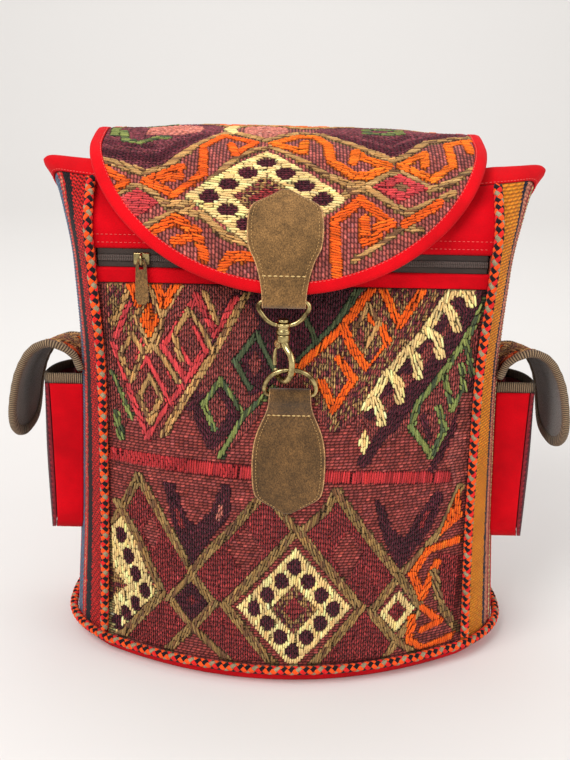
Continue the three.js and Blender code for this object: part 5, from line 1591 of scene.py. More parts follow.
def plait(name, path, node, outs):
    """A plaited cord along a path; outs says which way the cloth faces there."""
    line_points, lengths = smooth_curve(path, round(1.3 * along_lengths(np.asarray(path))[-1]))
    shares, known = np.linspace(0, 1, len(line_points)), np.linspace(0, 1, len(outs))
    out = np.stack([np.interp(shares, known, outs[:, k]) for k in range(3)], -1)
    along = unit(np.gradient(line_points, axis=0))
    out = unit(out - along * np.sum(out * along, -1, keepdims=True))
    side = np.cross(along, out)
    turns = 2 * math.pi * lengths / PLAIT_PITCH
    parts, dyes, piles, uvs = [], [], [], []
    for colour, way, third in YARNS:
        angle = way * turns + third * 2 * math.pi / 3
        radial = np.cos(angle)[:, None] * out + np.sin(angle)[:, None] * side
        centre = line_points + (2.35 + way * 0.45 * np.cos(3 * turns))[:, None] * radial
        rings = yarn_rings(centre, radial)
        part = sweep_parts(rings)
        parts.append(part)
        tone = DYE_LIGHT[dye_number(colour)]
        dyes.append(tone * np.exp(dice.normal(0, 0.06, (len(part[1]), 1))))
        # painted shade: the yarns darken towards the cord's middle, where they dip under each other
        away = np.linalg.norm(rings - line_points[:, None], axis=-1)
        piles.append(np.clip((away - 1.8) / 1.7, 0, 1).ravel())
        uvs.append(flat_map(np.arange(PLAIT_CORNERS)[None, :] * 1.3, lengths[:, None]))
    points, faces = merged(parts)
    piece = new_piece(name, points, faces, plait_wool, uv=np.concatenate(uvs), dye=np.concatenate(dyes),
                      pile=np.concatenate(piles))
    stands_for(outward(piece), "braid_wool", node)
    return piece


def corner_cord(t, z):
    """Where the cord lies beside a corner seam, and which way is out there."""
    seam = wall(FRONT, t, z, 0)
    along = unit(wall(FRONT, t, z + 1, 0) - wall(FRONT, t, z - 1, 0))
    away = wall(FRONT, t, z, -1) - seam
    away = unit(away - along * np.sum(away * along))
    return seam + away * (BRAID_RADIUS + 3 * GAP), away


braid_low = SEAM_Z + BRAID_RADIUS * 2 + 1
braid_high = MOUTH_Z - BINDING - BRAID_RADIUS
for name, t in (("plait_right", 1.0), ("plait_left", 0.0)):
    placed = [corner_cord(t, z) for z in np.linspace(braid_low, braid_high, 27)]
    plait(name, [p for p, _ in placed], name.replace("plait", "braid"), np.array([o for _, o in placed]))
hem_points = []
for edge, count in ((LEFT, 8), (FRONT, 16), (RIGHT, 8)):
    shares = np.linspace(0.08 if edge == LEFT else 0, 0.92 if edge == RIGHT else 1, count + 1)
    hem_points += [(edge, t) for t in (shares if edge == RIGHT else shares[:-1])]
hem = np.array([wall(edge, t, SEAM_Z, -(BRAID_RADIUS + 0.5)) for edge, t in hem_points])
hem_out = unit(hem - np.array([wall(edge, t, SEAM_Z, 0) for edge, t in hem_points]))
plait_bottom = plait("plait_bottom", hem, "braid_bottom", hem_out)
print("plaits made, bottom faces:", len(plait_bottom.data.polygons))

# %% [markdown]
# ## The lining
# A dark red cotton bag hangs inside the shell. It shows only in the gaps beside the flap. Rings of
# points run down its outer side and up its inner side, so it is one closed skin.

# %% Lining
LINING_DEPTH = 7.8
LINING_THICK = 1.5
LINING_FLOOR = 3.6
LINING_COUNTS = (60, 40, 30, 40)
lining_heights = [24, 60, 110, 160, 210, 260, 300, 335, 360, 385]
inner_depth = LINING_DEPTH + LINING_THICK
rings = [base_ring(LINING_DEPTH + 7, LINING_FLOOR, LINING_COUNTS)]
rings.append(base_ring(LINING_DEPTH, SEAM_Z, LINING_COUNTS))
rings += [shell_ring(LINING_DEPTH, z, LINING_COUNTS) for z in (*lining_heights, None)]
rings += [shell_ring(inner_depth, z, LINING_COUNTS) for z in (None, *lining_heights[::-1])]
rings.append(base_ring(inner_depth, SEAM_Z, LINING_COUNTS))
rings.append(base_ring(inner_depth + 7, LINING_FLOOR + LINING_THICK, LINING_COUNTS))
rings = np.stack(rings)
lining_uv = flat_map(along_lengths(rings[5])[None, :], rings[..., 2])
inner_bag = swept("inner_bag", rings, dark_lining, lining_uv)
stands_for(inner_bag, "lining_cloth", "lining")
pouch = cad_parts["zip_pouch"]
pouch.data.materials.clear()
pouch.data.materials.append(dark_lining)
print("lining:", len(inner_bag.data.polygons), "faces")

# %% [markdown]
# ## Hard pieces: helpers
# Metal pieces start from Blender's own primitives and curves: a block, a rod, a bent wire. They
# are joined, blended with a fine voxel remesh where the real piece is cast, and bevelled.

# %% Primitive helpers
ROD_SIDES = 40


def rounded(piece, width, segments=3):
    if width:
        apply_modifier(piece, "BEVEL", width=width * MM, segments=segments, limit_method="ANGLE")
    return piece


def block(size, centre, bevel=0.0):
    bpy.ops.object.select_all(action="DESELECT")
    bpy.ops.mesh.primitive_cube_add(size=1, location=Vector(centre) * MM, scale=Vector(size) * MM)
    bpy.ops.object.transform_apply(location=True, rotation=True, scale=True)
    return rounded(bpy.context.object, bevel)


def rod(radius, length, centre, axis="Z", bevel=0.0):
    turn = {"X": (0, math.pi / 2, 0), "Y": (math.pi / 2, 0, 0), "Z": (0, 0, 0)}[axis]
    bpy.ops.object.select_all(action="DESELECT")
    bpy.ops.mesh.primitive_cylinder_add(vertices=ROD_SIDES, radius=radius * MM, depth=length * MM,
                                        location=Vector(centre) * MM, rotation=turn)
    bpy.ops.object.transform_apply(location=True, rotation=True, scale=True)
    return rounded(bpy.context.object, bevel)


def bent_wire(points, radius, closed=False, shares=None, sides=6):
    """A wire through points, as a bevelled curve turned into a mesh. shares thin it at each point."""
    curve = bpy.data.curves.new("wire", "CURVE")
    curve.dimensions = "3D"
    curve.bevel_depth = radius * MM
    curve.bevel_resolution = sides
    curve.resolution_u = 10
    curve.use_fill_caps = True
    spline = curve.splines.new("BEZIER")
    spline.bezier_points.add(len(points) - 1)
    spline.use_cyclic_u = closed
    for k, (knot, point) in enumerate(zip(spline.bezier_points, points)):
        knot.co = Vector(point) * MM
        knot.handle_left_type = knot.handle_right_type = "AUTO"
        knot.radius = shares[k] if shares else 1.0
    made = bpy.data.objects.new("wire", curve)
    bpy.context.collection.objects.link(made)
    only(made)
    bpy.ops.object.convert(target="MESH")
    return bpy.context.object


def join(name, parts):
    bpy.ops.object.select_all(action="DESELECT")
    for part in parts:
        part.select_set(True)
    bpy.context.view_layer.objects.active = parts[0]
    bpy.ops.object.join()
    parts[0].name = name
    return parts[0]


def cast(piece, voxel, rounds):
    """Blends joined parts into one skin, as if they were cast in one piece."""
    apply_modifier(piece, "REMESH", mode="VOXEL", voxel_size=voxel * MM)
    return apply_modifier(piece, "SMOOTH", factor=0.5, iterations=rounds)


def cut(piece, tool):
    apply_modifier(piece, "BOOLEAN", operation="DIFFERENCE", object=tool, solver="EXACT")
    bpy.data.objects.remove(tool)
    return piece


def finished(piece, node, body, angle=35):
    """Gives a hard piece its brass, its shading and its place in the frame."""
    piece.data.materials.clear()
    piece.data.materials.append(brass)
    only(piece)
    bpy.ops.object.shade_smooth_by_angle(angle=math.radians(angle))
    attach(piece, body)
    return stands_for(piece, "antique_brass", node)


print("hard pieces are", brass.name)


# %% [markdown]
# ## The zip
# A coil zip runs straight across under the flap: two woven tapes and a nylon coil whose loops
# meet in the middle. Its brass slider carries a small suede pull.

# %% Zip tapes and coil
ZIP_CHAIN_HALF = 2.4
TAPE_ROWS = 9
zip_y = float(wall(FRONT, 0.5, ZIP_Z, 0)[1])
zip_half = float(station(CORNER_HALF, ZIP_Z)) - 3
for way, node in ((1, "zip_tape_upper"), (-1, "zip_tape_lower")):
    x = np.linspace(-zip_half, zip_half, 240)[None, :] * way + np.zeros((TAPE_ROWS, 1))
    tape_z = np.linspace(ZIP_CHAIN_HALF + SEAM_GAP, ZIP_TAPE_HALF - SEAM_GAP, TAPE_ROWS)[:, None]
    z = ZIP_Z + way * tape_z + 0 * x
    ribs = 0.12 * np.cos(np.arange(TAPE_ROWS) * math.pi)[:, None] + 0.1 * ripple(x / 9, z, 61)
    tape = sheet(node.replace("zip_tape", "woven_tape"), np.stack([x, zip_y + 0.9 - ribs, z], -1),
                 np.stack([x, zip_y + 1.8 + 0 * x, z], -1), zip_cloth, flat_map(x, z))
    stands_for(tape, "zip_tape_cloth", node)
teeth = []
for way in (1, -1):
    middle = [(end, zip_y - 0.05, ZIP_Z + way * 1.12) for end in (-zip_half + 0.5, zip_half - 0.5)]
    teeth.append(stitch_row(middle, (0, -1, 0), pitch=1.35, long=2.5, thick=1.05, slant=way * 5))
core_corners = ((0.15, -2.2), (1.9, -2.2), (1.9, 2.2), (0.15, 2.2))
core = np.array([[(x, zip_y + y, ZIP_Z + z) for y, z in core_corners] for x in (-zip_half, zip_half)])
points, faces = merged([*teeth, sweep_parts(core)])
zip_teeth = outward(new_piece("zip_teeth", points, faces, coil_nylon))
stands_for(zip_teeth, "zip_coil", "zip_chain")
print("zip:", len(zip_teeth.data.polygons), "coil faces")

# %% Slider and pull
SLIDER_X = -113
PIVOT_CLEARANCE = 0.4
plate_back = zip_y - 0.6 - PIVOT_CLEARANCE
plate_front = plate_back - 1.6
flange_back = zip_y + 0.5
flange_z = ZIP_CHAIN_HALF + PIVOT_CLEARANCE + 0.85
slider_parts = [block((12, 1.6, 9), (SLIDER_X, plate_back - 0.8, ZIP_Z), 0.7)]
for way in (1, -1):
    slider_parts.append(block((12, flange_back - plate_back + 0.2, 1.7),
                              (SLIDER_X, (plate_back + flange_back) / 2 - 0.1, ZIP_Z + way * flange_z), 0.3))
bail = [(SLIDER_X, plate_front + out, ZIP_Z + rise) for out, rise in
        ((0.3, 3.4), (-3.2, 3.2), (-4.6, 0), (-3.2, -3.2), (0.3, -3.4))]
slider_parts.append(bent_wire(bail, 1.05, sides=4))
finished(join("brass_slider", slider_parts), "zip_slider", "slider")

pull_outer = [(-2.6, 0.9), (2.6, 0.9), (4, -4), (5, -29), (3, -34), (-3, -34), (-5, -29), (-4, -4)]
pull_slot = [
    (-1.8, -0.9), (1.8, -0.9), (1.8, -4), (1.8, -7.2), (0.7, -7.2), (-0.7, -7.2), (-1.8, -7.2),
    (-1.8, -4),
]
pull_y = plate_front - 2.3
pull_points = [(SLIDER_X + x, pull_y, ZIP_Z - 0.4 + z) for x, z in pull_outer + pull_slot]
corners = len(pull_outer)
pull_faces = [[k, (k + 1) % corners, corners + (k + 1) % corners, corners + k] for k in range(corners)]
suede_pull = new_piece("suede_pull", pull_points, pull_faces, brown_suede, body="pull", smooth=False)
apply_modifier(suede_pull, "SOLIDIFY", thickness=1.6 * MM, offset=0)
outward(rounded(suede_pull, 0.35, 2))
stands_for(suede_pull, "suede", "zip_pull")
print("pull:", len(suede_pull.data.polygons), "faces")

# %% [markdown]
# ## Suede tabs
# Two tabs of split leather hold the clasp. Each is a flat sheet with a pale raw edge, a row of
# stitches inside its outline and a bold row where the leather folds back round the metal.

# %% Tab helpers
LEATHER = 2.2
WIRE = 1.9
LOOP_HOLE = WIRE + PIVOT_CLEARANCE
LOOP_RADIUS = LOOP_HOLE + LEATHER
GRAIN_MM = 9
DENT_MM = 1.6
EDGE_STITCH = {"pitch": 2.6, "long": 1.7, "thick": 0.75}
TAB_SHARES = np.concatenate([[-1, -0.965], np.linspace(-0.9, 0.9, 19), [0.965, 1]])


def tab_width(stations):
    """Half width of a tab as a smooth function of the distance along it."""
    dense, _ = smooth_curve(stations, 400)
    return lambda s: np.interp(s, dense[:, 0], dense[:, 1])


def suede_sheet(name, upper, lower, node, leather):
    """A suede sheet whose sides and outermost strip of face show the pale raw edge."""
    rows, columns = upper.shape[:2]
    piece = sheet(name, upper, lower, leather)
    piece.data.materials.append(raw_edge)
    face_count = len(piece.data.polygons)
    cells = (rows - 1) * (columns - 1)
    edge_face = np.zeros(face_count, np.int32)
    cell_column = np.arange(cells) % (columns - 1)
    edge_face[:cells] = (cell_column == 0) | (cell_column == columns - 2)
    edge_face[2 * cells:] = 1
    piece.data.polygons.foreach_set("material_index", edge_face)
    return stands_for(outward(piece), "suede", node)


def tab_crown(u, s, grain_height, seed):
    """Thickness of a tab: less at its cut edges, with a little grain between them."""
    grain = grain_height * ripple(u / GRAIN_MM, s[:, None] / GRAIN_MM, seed)
    return LEATHER * (1 - 0.3 * np.abs(TAB_SHARES) ** 10) + grain * (1 - TAB_SHARES**2)


def seam_dent(s, seam, deep):
    """The bold row of stitches pulls the leather in."""
    return deep * np.exp(-((s - seam) / DENT_MM) ** 2)[:, None]


def looped(upper, under, axis, across, bend):
    """Both faces of a tab with the loop at its end, which bends round an axis."""
    loop_x = np.zeros((len(bend), len(across), 3))
    loop_x[..., 0] = across
    return [np.concatenate([face, axis + loop_x + bend[:, None] * radius])
            for face, radius in ((upper, LOOP_RADIUS), (under, LOOP_HOLE))]


def tab_outline(half, inset, low, high):
    """Stitch path (distance, offset) inside a tab: up one side, round the point, down the other."""
    s = np.linspace(high, low, 80)
    side = np.maximum(half(s) - inset, 0)
    return np.concatenate([s, s[::-1]]), np.concatenate([side, -side[::-1]])


print("tab loops:", LOOP_RADIUS, "mm outside")

# %% Upper tab, on the flap
TAB_X = -6
TAB_LIFT = 0.8
UPPER_LONG = 79
UPPER_SEAM = 65.5
UPPER_LOOP_HALF = 16
upper_half = tab_width([(0, 3), (6, 13.5), (12, 24.2), (16, 26.6), (29, 28.2), (44, 27), (55, 22), (67, 18.4),
                        (UPPER_LONG, 16.5), (93, 16)])
tab_start = FLAP_LONG - UPPER_LONG
tip_point = flap_at(-FLAP_X, FLAP_LONG, 0)
tip_along = np.array([0, *flap_slope[-1]])
tip_out = np.array([0, tip_along[2], -tip_along[1]])
eye_along = LOOP_RADIUS + 0.8
eye_axis = tip_point + tip_along * eye_along + tip_out * (TAB_LIFT + LEATHER - LOOP_RADIUS)
eye_axis[0] = TAB_X

flat_s = np.concatenate([np.linspace(0, 18, 21), np.linspace(19.5, UPPER_LONG + eye_along, 42)])
flat_u = TAB_SHARES[None, ::-1] * upper_half(flat_s)[:, None]
crown = tab_crown(flat_u, flat_s, grain_height=0.25, seed=71)
tab_u = flat_u + TAB_X - FLAP_X
dent = seam_dent(flat_s, UPPER_SEAM, deep=0.7)
upper_face = flap_at(tab_u, tab_start + flat_s[:, None], -TAB_LIFT - crown + dent)
under_face = flap_at(tab_u, tab_start + flat_s[:, None], -TAB_LIFT)
turns = np.radians(np.linspace(12, 296, 30))
bend = np.cos(turns)[:, None] * tip_out + np.sin(turns)[:, None] * tip_along
upper_face, under_face = looped(upper_face, under_face, eye_axis, TAB_SHARES[::-1] * UPPER_LOOP_HALF, bend)
suede_upper = suede_sheet("suede_upper", upper_face, under_face, "flap_tab", brown_suede)

row_s, row_u = tab_outline(upper_half, inset=3.4, low=4.2, high=UPPER_LONG)
row_points = flap_at(row_u + TAB_X - FLAP_X, tab_start + row_s, -TAB_LIFT - LEATHER - 0.05)
row_out = unit(row_points - flap_at(row_u + TAB_X - FLAP_X, tab_start + row_s, 1))
edge_rows = [stitch_row(row_points, row_out, **EDGE_STITCH)]
cross_u = np.linspace(-17, 17, 20)
cross_points = flap_at(cross_u + TAB_X - FLAP_X, tab_start + UPPER_SEAM, -TAB_LIFT - LEATHER + 0.35)
cross_out = unit(cross_points - flap_at(cross_u + TAB_X - FLAP_X, tab_start + UPPER_SEAM, 2))
seam_rows = [stitch_row(cross_points, cross_out, pitch=4.2, long=3.2, thick=1.3)]
print("upper tab:", len(suede_upper.data.polygons), "faces")

# %% Lower tab, on the front
RING_X = 0
LOWER_LONG = 97.5
LOWER_SEAM = 17
LOWER_LOOP_HALF = 15.6
ring_tab_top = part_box("ring_tab")[1][2] / MM
ring_z = float(ring_tab_top - LOOP_RADIUS)
ring_y = float(wall(FRONT, 0.5, ring_z, 0)[1]) - LOOP_RADIUS - 0.5
lower_half = tab_width([(0, 15.6), (8, 16.2), (17, 18.6), (26, 22.5), (36, 26), (48, 28), (62, 28.4),
                        (80, 26.8), (85, 24.4), (LOWER_LONG, 3)])
lift_curve, _ = smooth_curve([(0, 7.3), (4, 6.9), (10, 4.4), (17, 2.2), (24, 0.9), (30, 0.3), (64, 0.3),
                              (98, 0.3)], 300)


def lower_at(u, drop, above):
    """A point of the lower tab: u across, drop below the ring's bar, above its own under side."""
    u, drop, above = np.broadcast_arrays(*(np.asarray(a, float) for a in (u, drop, above)))
    z = ring_z - drop
    lift = np.interp(drop, lift_curve[:, 0], lift_curve[:, 1])
    return wall(FRONT, 0.5 + (RING_X + u) / (2 * station(CORNER_HALF, z)), z, -(lift + above))


drop_s = np.concatenate([np.linspace(LOWER_LONG, 80, 20), np.linspace(78, 0, 40)])
drop_u = TAB_SHARES[None, :] * lower_half(drop_s)[:, None]
crown = tab_crown(drop_u, drop_s, grain_height=0.3, seed=72)
upper_face = lower_at(drop_u, drop_s[:, None], crown - seam_dent(drop_s, LOWER_SEAM, deep=0.8))
under_face = lower_at(drop_u, drop_s[:, None], 0 * crown)
turns = np.radians(np.linspace(12, 205, 22))
bend = np.stack([0 * turns, -np.cos(turns), np.sin(turns)], -1)
ring_axis = np.array([RING_X, ring_y, ring_z])
upper_face, under_face = looped(upper_face, under_face, ring_axis, TAB_SHARES * LOWER_LOOP_HALF, bend)
# The lower tab takes the darker copy of the suede, as painted shade.
suede_lower = suede_sheet("suede_lower", upper_face, under_face, "ring_tab", painted_shade_suede)

row_s, row_u = tab_outline(lower_half, inset=3.4, low=LOWER_SEAM, high=92.5)
row_points = lower_at(row_u, row_s, LEATHER + 0.05)
edge_rows.append(stitch_row(row_points, (0, -1, 0), **EDGE_STITCH))
cross_u = np.linspace(-17.5, 17.5, 20)
cross_points = lower_at(cross_u, LOWER_SEAM, LEATHER - 0.35)
seam_rows.append(stitch_row(cross_points, (0, -1, 0), pitch=3.8, long=2.9, thick=1.2))
sewn("edge_sewing", edge_rows, brown_thread, "suede")
sewn("seam_sewing", seam_rows, tan_thread, "suede")
print("lower tab:", len(suede_lower.data.polygons), "faces")

# %% [markdown]
# ## Swivel hook and ring
# The clasp is cast brass. A wire eye sits in the upper tab and ends in a collar. The hook turns
# in the collar, and a sprung gate closes its mouth. Its bowl holds the ring of the lower tab.

# %% Eye
EYE_HALF = 18.6
EYE_DROP = 17


def hung(piece, turn=0.0):
    """Moves a piece drawn round the eye's bar to its place on the bag."""
    piece.data.transform(Matrix.Translation(Vector(eye_axis) * MM) @ Matrix.Rotation(turn, 4, "Z"))
    return piece


half_eye = [(9, 0), (EYE_HALF - 2, 0), (EYE_HALF, -3.2), (EYE_HALF - 3, -9.5), (11, -14.6), (6, -EYE_DROP)]
eye_loop = [(0, 0), *half_eye, (0, -EYE_DROP), *[(-x, z) for x, z in half_eye[::-1]]]
eye_parts = [bent_wire([(x, 0, z) for x, z in eye_loop], WIRE, closed=True)]
eye_parts.append(rod(5.3, 2.8, (0, 0, -16.9), bevel=0.6))
eye_parts.append(rod(4.5, 4, (0, 0, -19)))
eye_parts.append(rod(5.4, 3.2, (0, 0, -22.4), bevel=0.7))
brass_eye = cast(join("brass_eye", eye_parts), voxel=0.35, rounds=3)
cut(brass_eye, rod(2.8, 20, (0, 0, -22)))
finished(hung(brass_eye), "hook_eye", "eye", 40)
print("eye:", len(brass_eye.data.polygons), "faces")

# %% Hook, gate and pin
HOOK_TURN = math.radians(-50)
GATE_PIVOT = (-4.2, 0, -33)
hook_parts = [rod(4, 2.4, (0, 0, -13.8), bevel=0.5), rod(2.4, 12, (0, 0, -19.7))]
hook_parts.append(rod(5, 5.6, (0, 0, -27.2), bevel=0.8))
bowl = [(0, -28), (3.5, -33.5), (9, -39), (10.6, -47), (8.2, -56), (1.2, -60.6), (-5.6, -58.6), (-8.6, -53.6)]
hook_parts.append(bent_wire([(x, 0, z) for x, z in bowl], 2.55, shares=[1.3, 1.15, 1, 1, 1, 1, 0.95, 0.72]))
hook_parts.append(rod(3.6, 5.2, GATE_PIVOT, axis="Y", bevel=0.5))
hook_parts.append(block((6, 5.2, 5), (-1.2, 0, -31), 0.5))
brass_hook = cast(join("brass_hook", hook_parts), voxel=0.35, rounds=3)
cut(brass_hook, block((9.2, 3, 14), (GATE_PIVOT[0] - 1.5, 0, GATE_PIVOT[2] - 3)))
cut(brass_hook, rod(1.15, 9, GATE_PIVOT, axis="Y"))
finished(hung(brass_hook, HOOK_TURN), "hook_body", "hook", 40)

gate_line = [(-1.2, -1.6), (-4.4, -6), (-5.2, -10), (-5.3, -13), (-4.7, -17.9)]
gate_points = [(GATE_PIVOT[0] + x, 0, GATE_PIVOT[2] + z) for x, z in gate_line]
gate_wire = bent_wire(gate_points, 1.6, shares=[0.7, 0.8, 1, 1.05, 1])
brass_gate = join("brass_gate", [gate_wire, rod(2.6, 2.4, GATE_PIVOT, axis="Y", bevel=0.3)])
cast(brass_gate, voxel=0.3, rounds=2)
cut(brass_gate, rod(1.4, 9, GATE_PIVOT, axis="Y"))
finished(hung(brass_gate, HOOK_TURN), "hook_gate", "gate", 40)
brass_pin = rod(1, 5.8, GATE_PIVOT, axis="Y", bevel=0.2)
brass_pin.name = "brass_pin"
finished(hung(brass_pin, HOOK_TURN), "gate_pin", "hook")
print("hook:", len(brass_hook.data.polygons), "faces, gate", len(brass_gate.data.polygons))

# %% Ring
RING_HALF = 19.2
RING_RISE = 22.5
ring_tilt = math.asin((ring_y - (eye_axis[1] - 1)) / RING_RISE)
half_ring = [
    (8, 0), (RING_HALF - 2.2, 0), (RING_HALF - 0.2, 2.2), (RING_HALF, 7.5),
    (RING_HALF - 3.4, RING_RISE - 7.2), (9.6, RING_RISE - 1.9),
]
ring_loop = [(0, 0), *half_ring, (0, RING_RISE), *[(-x, z) for x, z in half_ring[::-1]]]
brass_ring = bent_wire([(x, 0, z) for x, z in ring_loop], WIRE, closed=True)
brass_ring.name = "brass_ring"
brass_ring.data.transform(Matrix.Translation(Vector(ring_axis) * MM) @ Matrix.Rotation(ring_tilt, 4, "X"))
finished(brass_ring, "ring", "ring", 60)
print("ring:", len(brass_ring.data.polygons), "faces")

# %% [markdown]
# ## Side pockets
# Each pocket is a red gusset, a striped outer face, a brown ribbed edge at the mouth and a flap
# that hangs over it. The right one is made and the left one is its mirror image.

# %% Pocket surfaces
POCKET_FRONT = -22
POCKET_BACK = 68
POCKET_LOW = 95
POCKET_TOP = 232
POCKET_CORNER = 14
POCKET_SLANT = 17
POCKET_NEAR = 0.4
POCKET_FACE_GAP = 0.8
POCKET_FACE_THICK = 2.5
POCKET_BELLY = 2.5
GUSSET_SHARES = np.linspace(1, 0, 17)[None, :]
pocket_pieces = []


def pocket_deep(z):
    return 22 + 6 * (z - POCKET_LOW) / (POCKET_TOP - POCKET_LOW)


def pocket_lean(y, z):
    """Above its rounded corners a pocket slopes down to the back."""
    level = POCKET_LOW + POCKET_CORNER
    rise = np.maximum(0, (z - level) / (POCKET_TOP - level))
    return z - POCKET_SLANT * rise * (y - POCKET_FRONT) / (POCKET_BACK - POCKET_FRONT)


def pocket_at(out, y, z):
    """A point of a pocket, out from the bag's side."""
    out, y, z = np.broadcast_arrays(*(np.asarray(a, float) for a in (out, y, z)))
    leaned = pocket_lean(y, z)
    return np.stack([side_x_at_y(y, leaned) + out, y, leaned], -1)


def gusset_path(inset):
    """The U of the gusset in y and z, front top to back top."""
    r = POCKET_CORNER - inset
    front, back, low = POCKET_FRONT + inset, POCKET_BACK - inset, POCKET_LOW + inset
    down = [(front, z) for z in np.linspace(POCKET_TOP, low + r, 40, endpoint=False)]
    quarter = np.linspace(0, math.pi / 2, 12)
    turn_in = [(front + r - r * math.cos(a), low + r - r * math.sin(a)) for a in quarter]
    across = [(y, low) for y in np.linspace(front + r, back - r, 24)[1:-1]]
    turn_up = [(back - r + r * math.sin(a), low + r - r * math.cos(a)) for a in quarter]
    rise = [(back, z) for z in np.linspace(low + r, POCKET_TOP, 40)[1:]]
    return np.array(down + turn_in + across + turn_up + rise)


def gusset_grid(inset, bow):
    y, z = gusset_path(inset).T[:, :, None]
    v = GUSSET_SHARES
    middle_y = (POCKET_FRONT + POCKET_BACK) / 2
    wave = bow * np.sin(math.pi * v) * (1 + 0.6 * ripple(z / 14, y / 14 + v, 81))
    away = np.where(z > POCKET_LOW + POCKET_CORNER, np.sign(y - middle_y), 0)
    return pocket_at(POCKET_NEAR + (pocket_deep(z) - POCKET_NEAR) * v, y + away * wave, z)


gusset_s = along_lengths(gusset_path(0))
gusset_uv = flat_map(gusset_s[:, None], 24 * GUSSET_SHARES)
gusset = outward(sheet("gusset_right", gusset_grid(0, 1.0), gusset_grid(2, 0.6), red_cotton, gusset_uv))
pocket_pieces.append((gusset, "red_cloth", "pocket_gusset"))
print("gusset:", len(gusset.data.polygons), "faces")

# %% Pocket face
face_rows, face_columns = 111, 73
face_z = np.linspace(POCKET_LOW, POCKET_TOP, face_rows)[:, None]
rise_left = np.maximum(0, POCKET_LOW + POCKET_CORNER - face_z)
face_inset = POCKET_CORNER - np.sqrt(POCKET_CORNER**2 - rise_left**2)
face_share = np.linspace(0, 1, face_columns)[None, :]
face_y = POCKET_FRONT + face_inset + (POCKET_BACK - POCKET_FRONT - 2 * face_inset) * face_share
face_z = face_z + 0 * face_y
pocket_stripes = [
    ("purple", 6), ("navy", 3), ("mint", 8), ("black", 4), ("cream", 4), ("red", 15), ("navy", 5),
    ("amber", 10), ("scarlet", 12), ("blue", 7), ("purple", 30),
]
stripe_at = (face_y[:-1, :-1] + face_y[1:, 1:]) / 2 - POCKET_FRONT
stripe_at = stripe_at + dice.normal(0, 0.3, stripe_at.shape)
face_tone = hand_dyed(stripe_dyes(stripe_at, pocket_stripes), 0.1)
row, column = np.arange(face_rows)[:, None], np.arange(face_columns)[None, :]
# The pile shapes the ribs and also gives painted shade in the gaps between them.
face_pile = np.where((column + row // 2) % 2 == 0, 1.0, 0.35) * np.where(row % 2 == 1, 1.0, 0.5)
face_under = pocket_deep(face_z) + POCKET_FACE_GAP
up_share = (face_z - POCKET_LOW) / (POCKET_TOP - POCKET_LOW)
face_belly = POCKET_BELLY * np.sin(math.pi * up_share) * np.sin(math.pi * face_share) ** 0.4
face_out = face_under + POCKET_FACE_THICK + face_belly
pocket_face = sheet("pocket_cloth_right", pocket_at(face_out + 0.6 * face_pile, face_y, face_z),
                    pocket_at(face_under, face_y, face_z), rug_wool, flat_map(face_y, face_z),
                    face_tone, face_pile, (10, 8))
pocket_pieces.append((pocket_face, "striped_wool", "pocket_face"))
print("pocket face:", len(pocket_face.data.polygons), "faces")


# %% Pocket edge
def rim_path(inset):
    """The pocket's mouth seen from above, as out and y, with rounded corners."""
    front, back = POCKET_FRONT + inset, POCKET_BACK - inset
    out, r = 31.8 - inset, 7 - inset
    leave = [(o, front) for o in np.linspace(POCKET_NEAR, out - r, 14, endpoint=False)]
    quarter = np.linspace(0, math.pi / 2, 8)
    turn_a = [(out - r + r * math.sin(a), front + r - r * math.cos(a)) for a in quarter]
    across = [(out, y) for y in np.linspace(front + r, back - r, 60)[1:-1]]
    turn_b = [(out - r + r * math.cos(a), back - r + r * math.sin(a)) for a in quarter]
    home = [(o, back) for o in np.linspace(out - r, POCKET_NEAR, 15)[1:]]
    return np.array(leave + turn_a + across + turn_b + home)


rim_fold = [
    (0.2, 0.3), (-0.3, 3), (-0.3, 6.5), (0.4, 8.4), (1.7, 9.2), (3.0, 8.4), (3.6, 6.5), (3.6, 3),
    (3.2, 0.3),
]
rim_s = along_lengths(rim_path(0))
rings = []
for inset, height in rim_fold:
    out, y = rim_path(inset).T
    rib = 0.12 * np.cos(2 * math.pi * rim_s / 2.2)
    rings.append(pocket_at(out + rib, y, POCKET_TOP + height + 0.3 * ripple(rim_s / 12, 0, 82)))
pocket_rim = folded_strip("pocket_ribbon_right", rings, rim_s, rim_fold, brown_ribbon)
pocket_pieces.append((pocket_rim, "brown_ribbon", "pocket_rim"))
print("pocket edge:", len(pocket_rim.data.polygons), "faces")

# %% Pocket flap surface
FLAP_MIDDLE_Y = 20
POCKET_FLAP_HALF = 57
POCKET_FLAP_ROUND = 36
POCKET_EDGE_POWER = 2.4
STRAIGHT_OUT = 26
POCKET_SEAM_Z = POCKET_TOP + 23
pocket_line, pocket_length = smooth_curve([
    (1.2, POCKET_TOP + 15), (7, POCKET_TOP + 29), (20, POCKET_TOP + 37.5), (35, POCKET_TOP + 32),
    (47, POCKET_TOP + 14), (54, POCKET_TOP - 12), (56, POCKET_TOP - 36), (54, POCKET_TOP - 54)], 500)
POCKET_FLAP_LONG = pocket_length[-1]
pocket_slope = unit(np.gradient(pocket_line, axis=0))


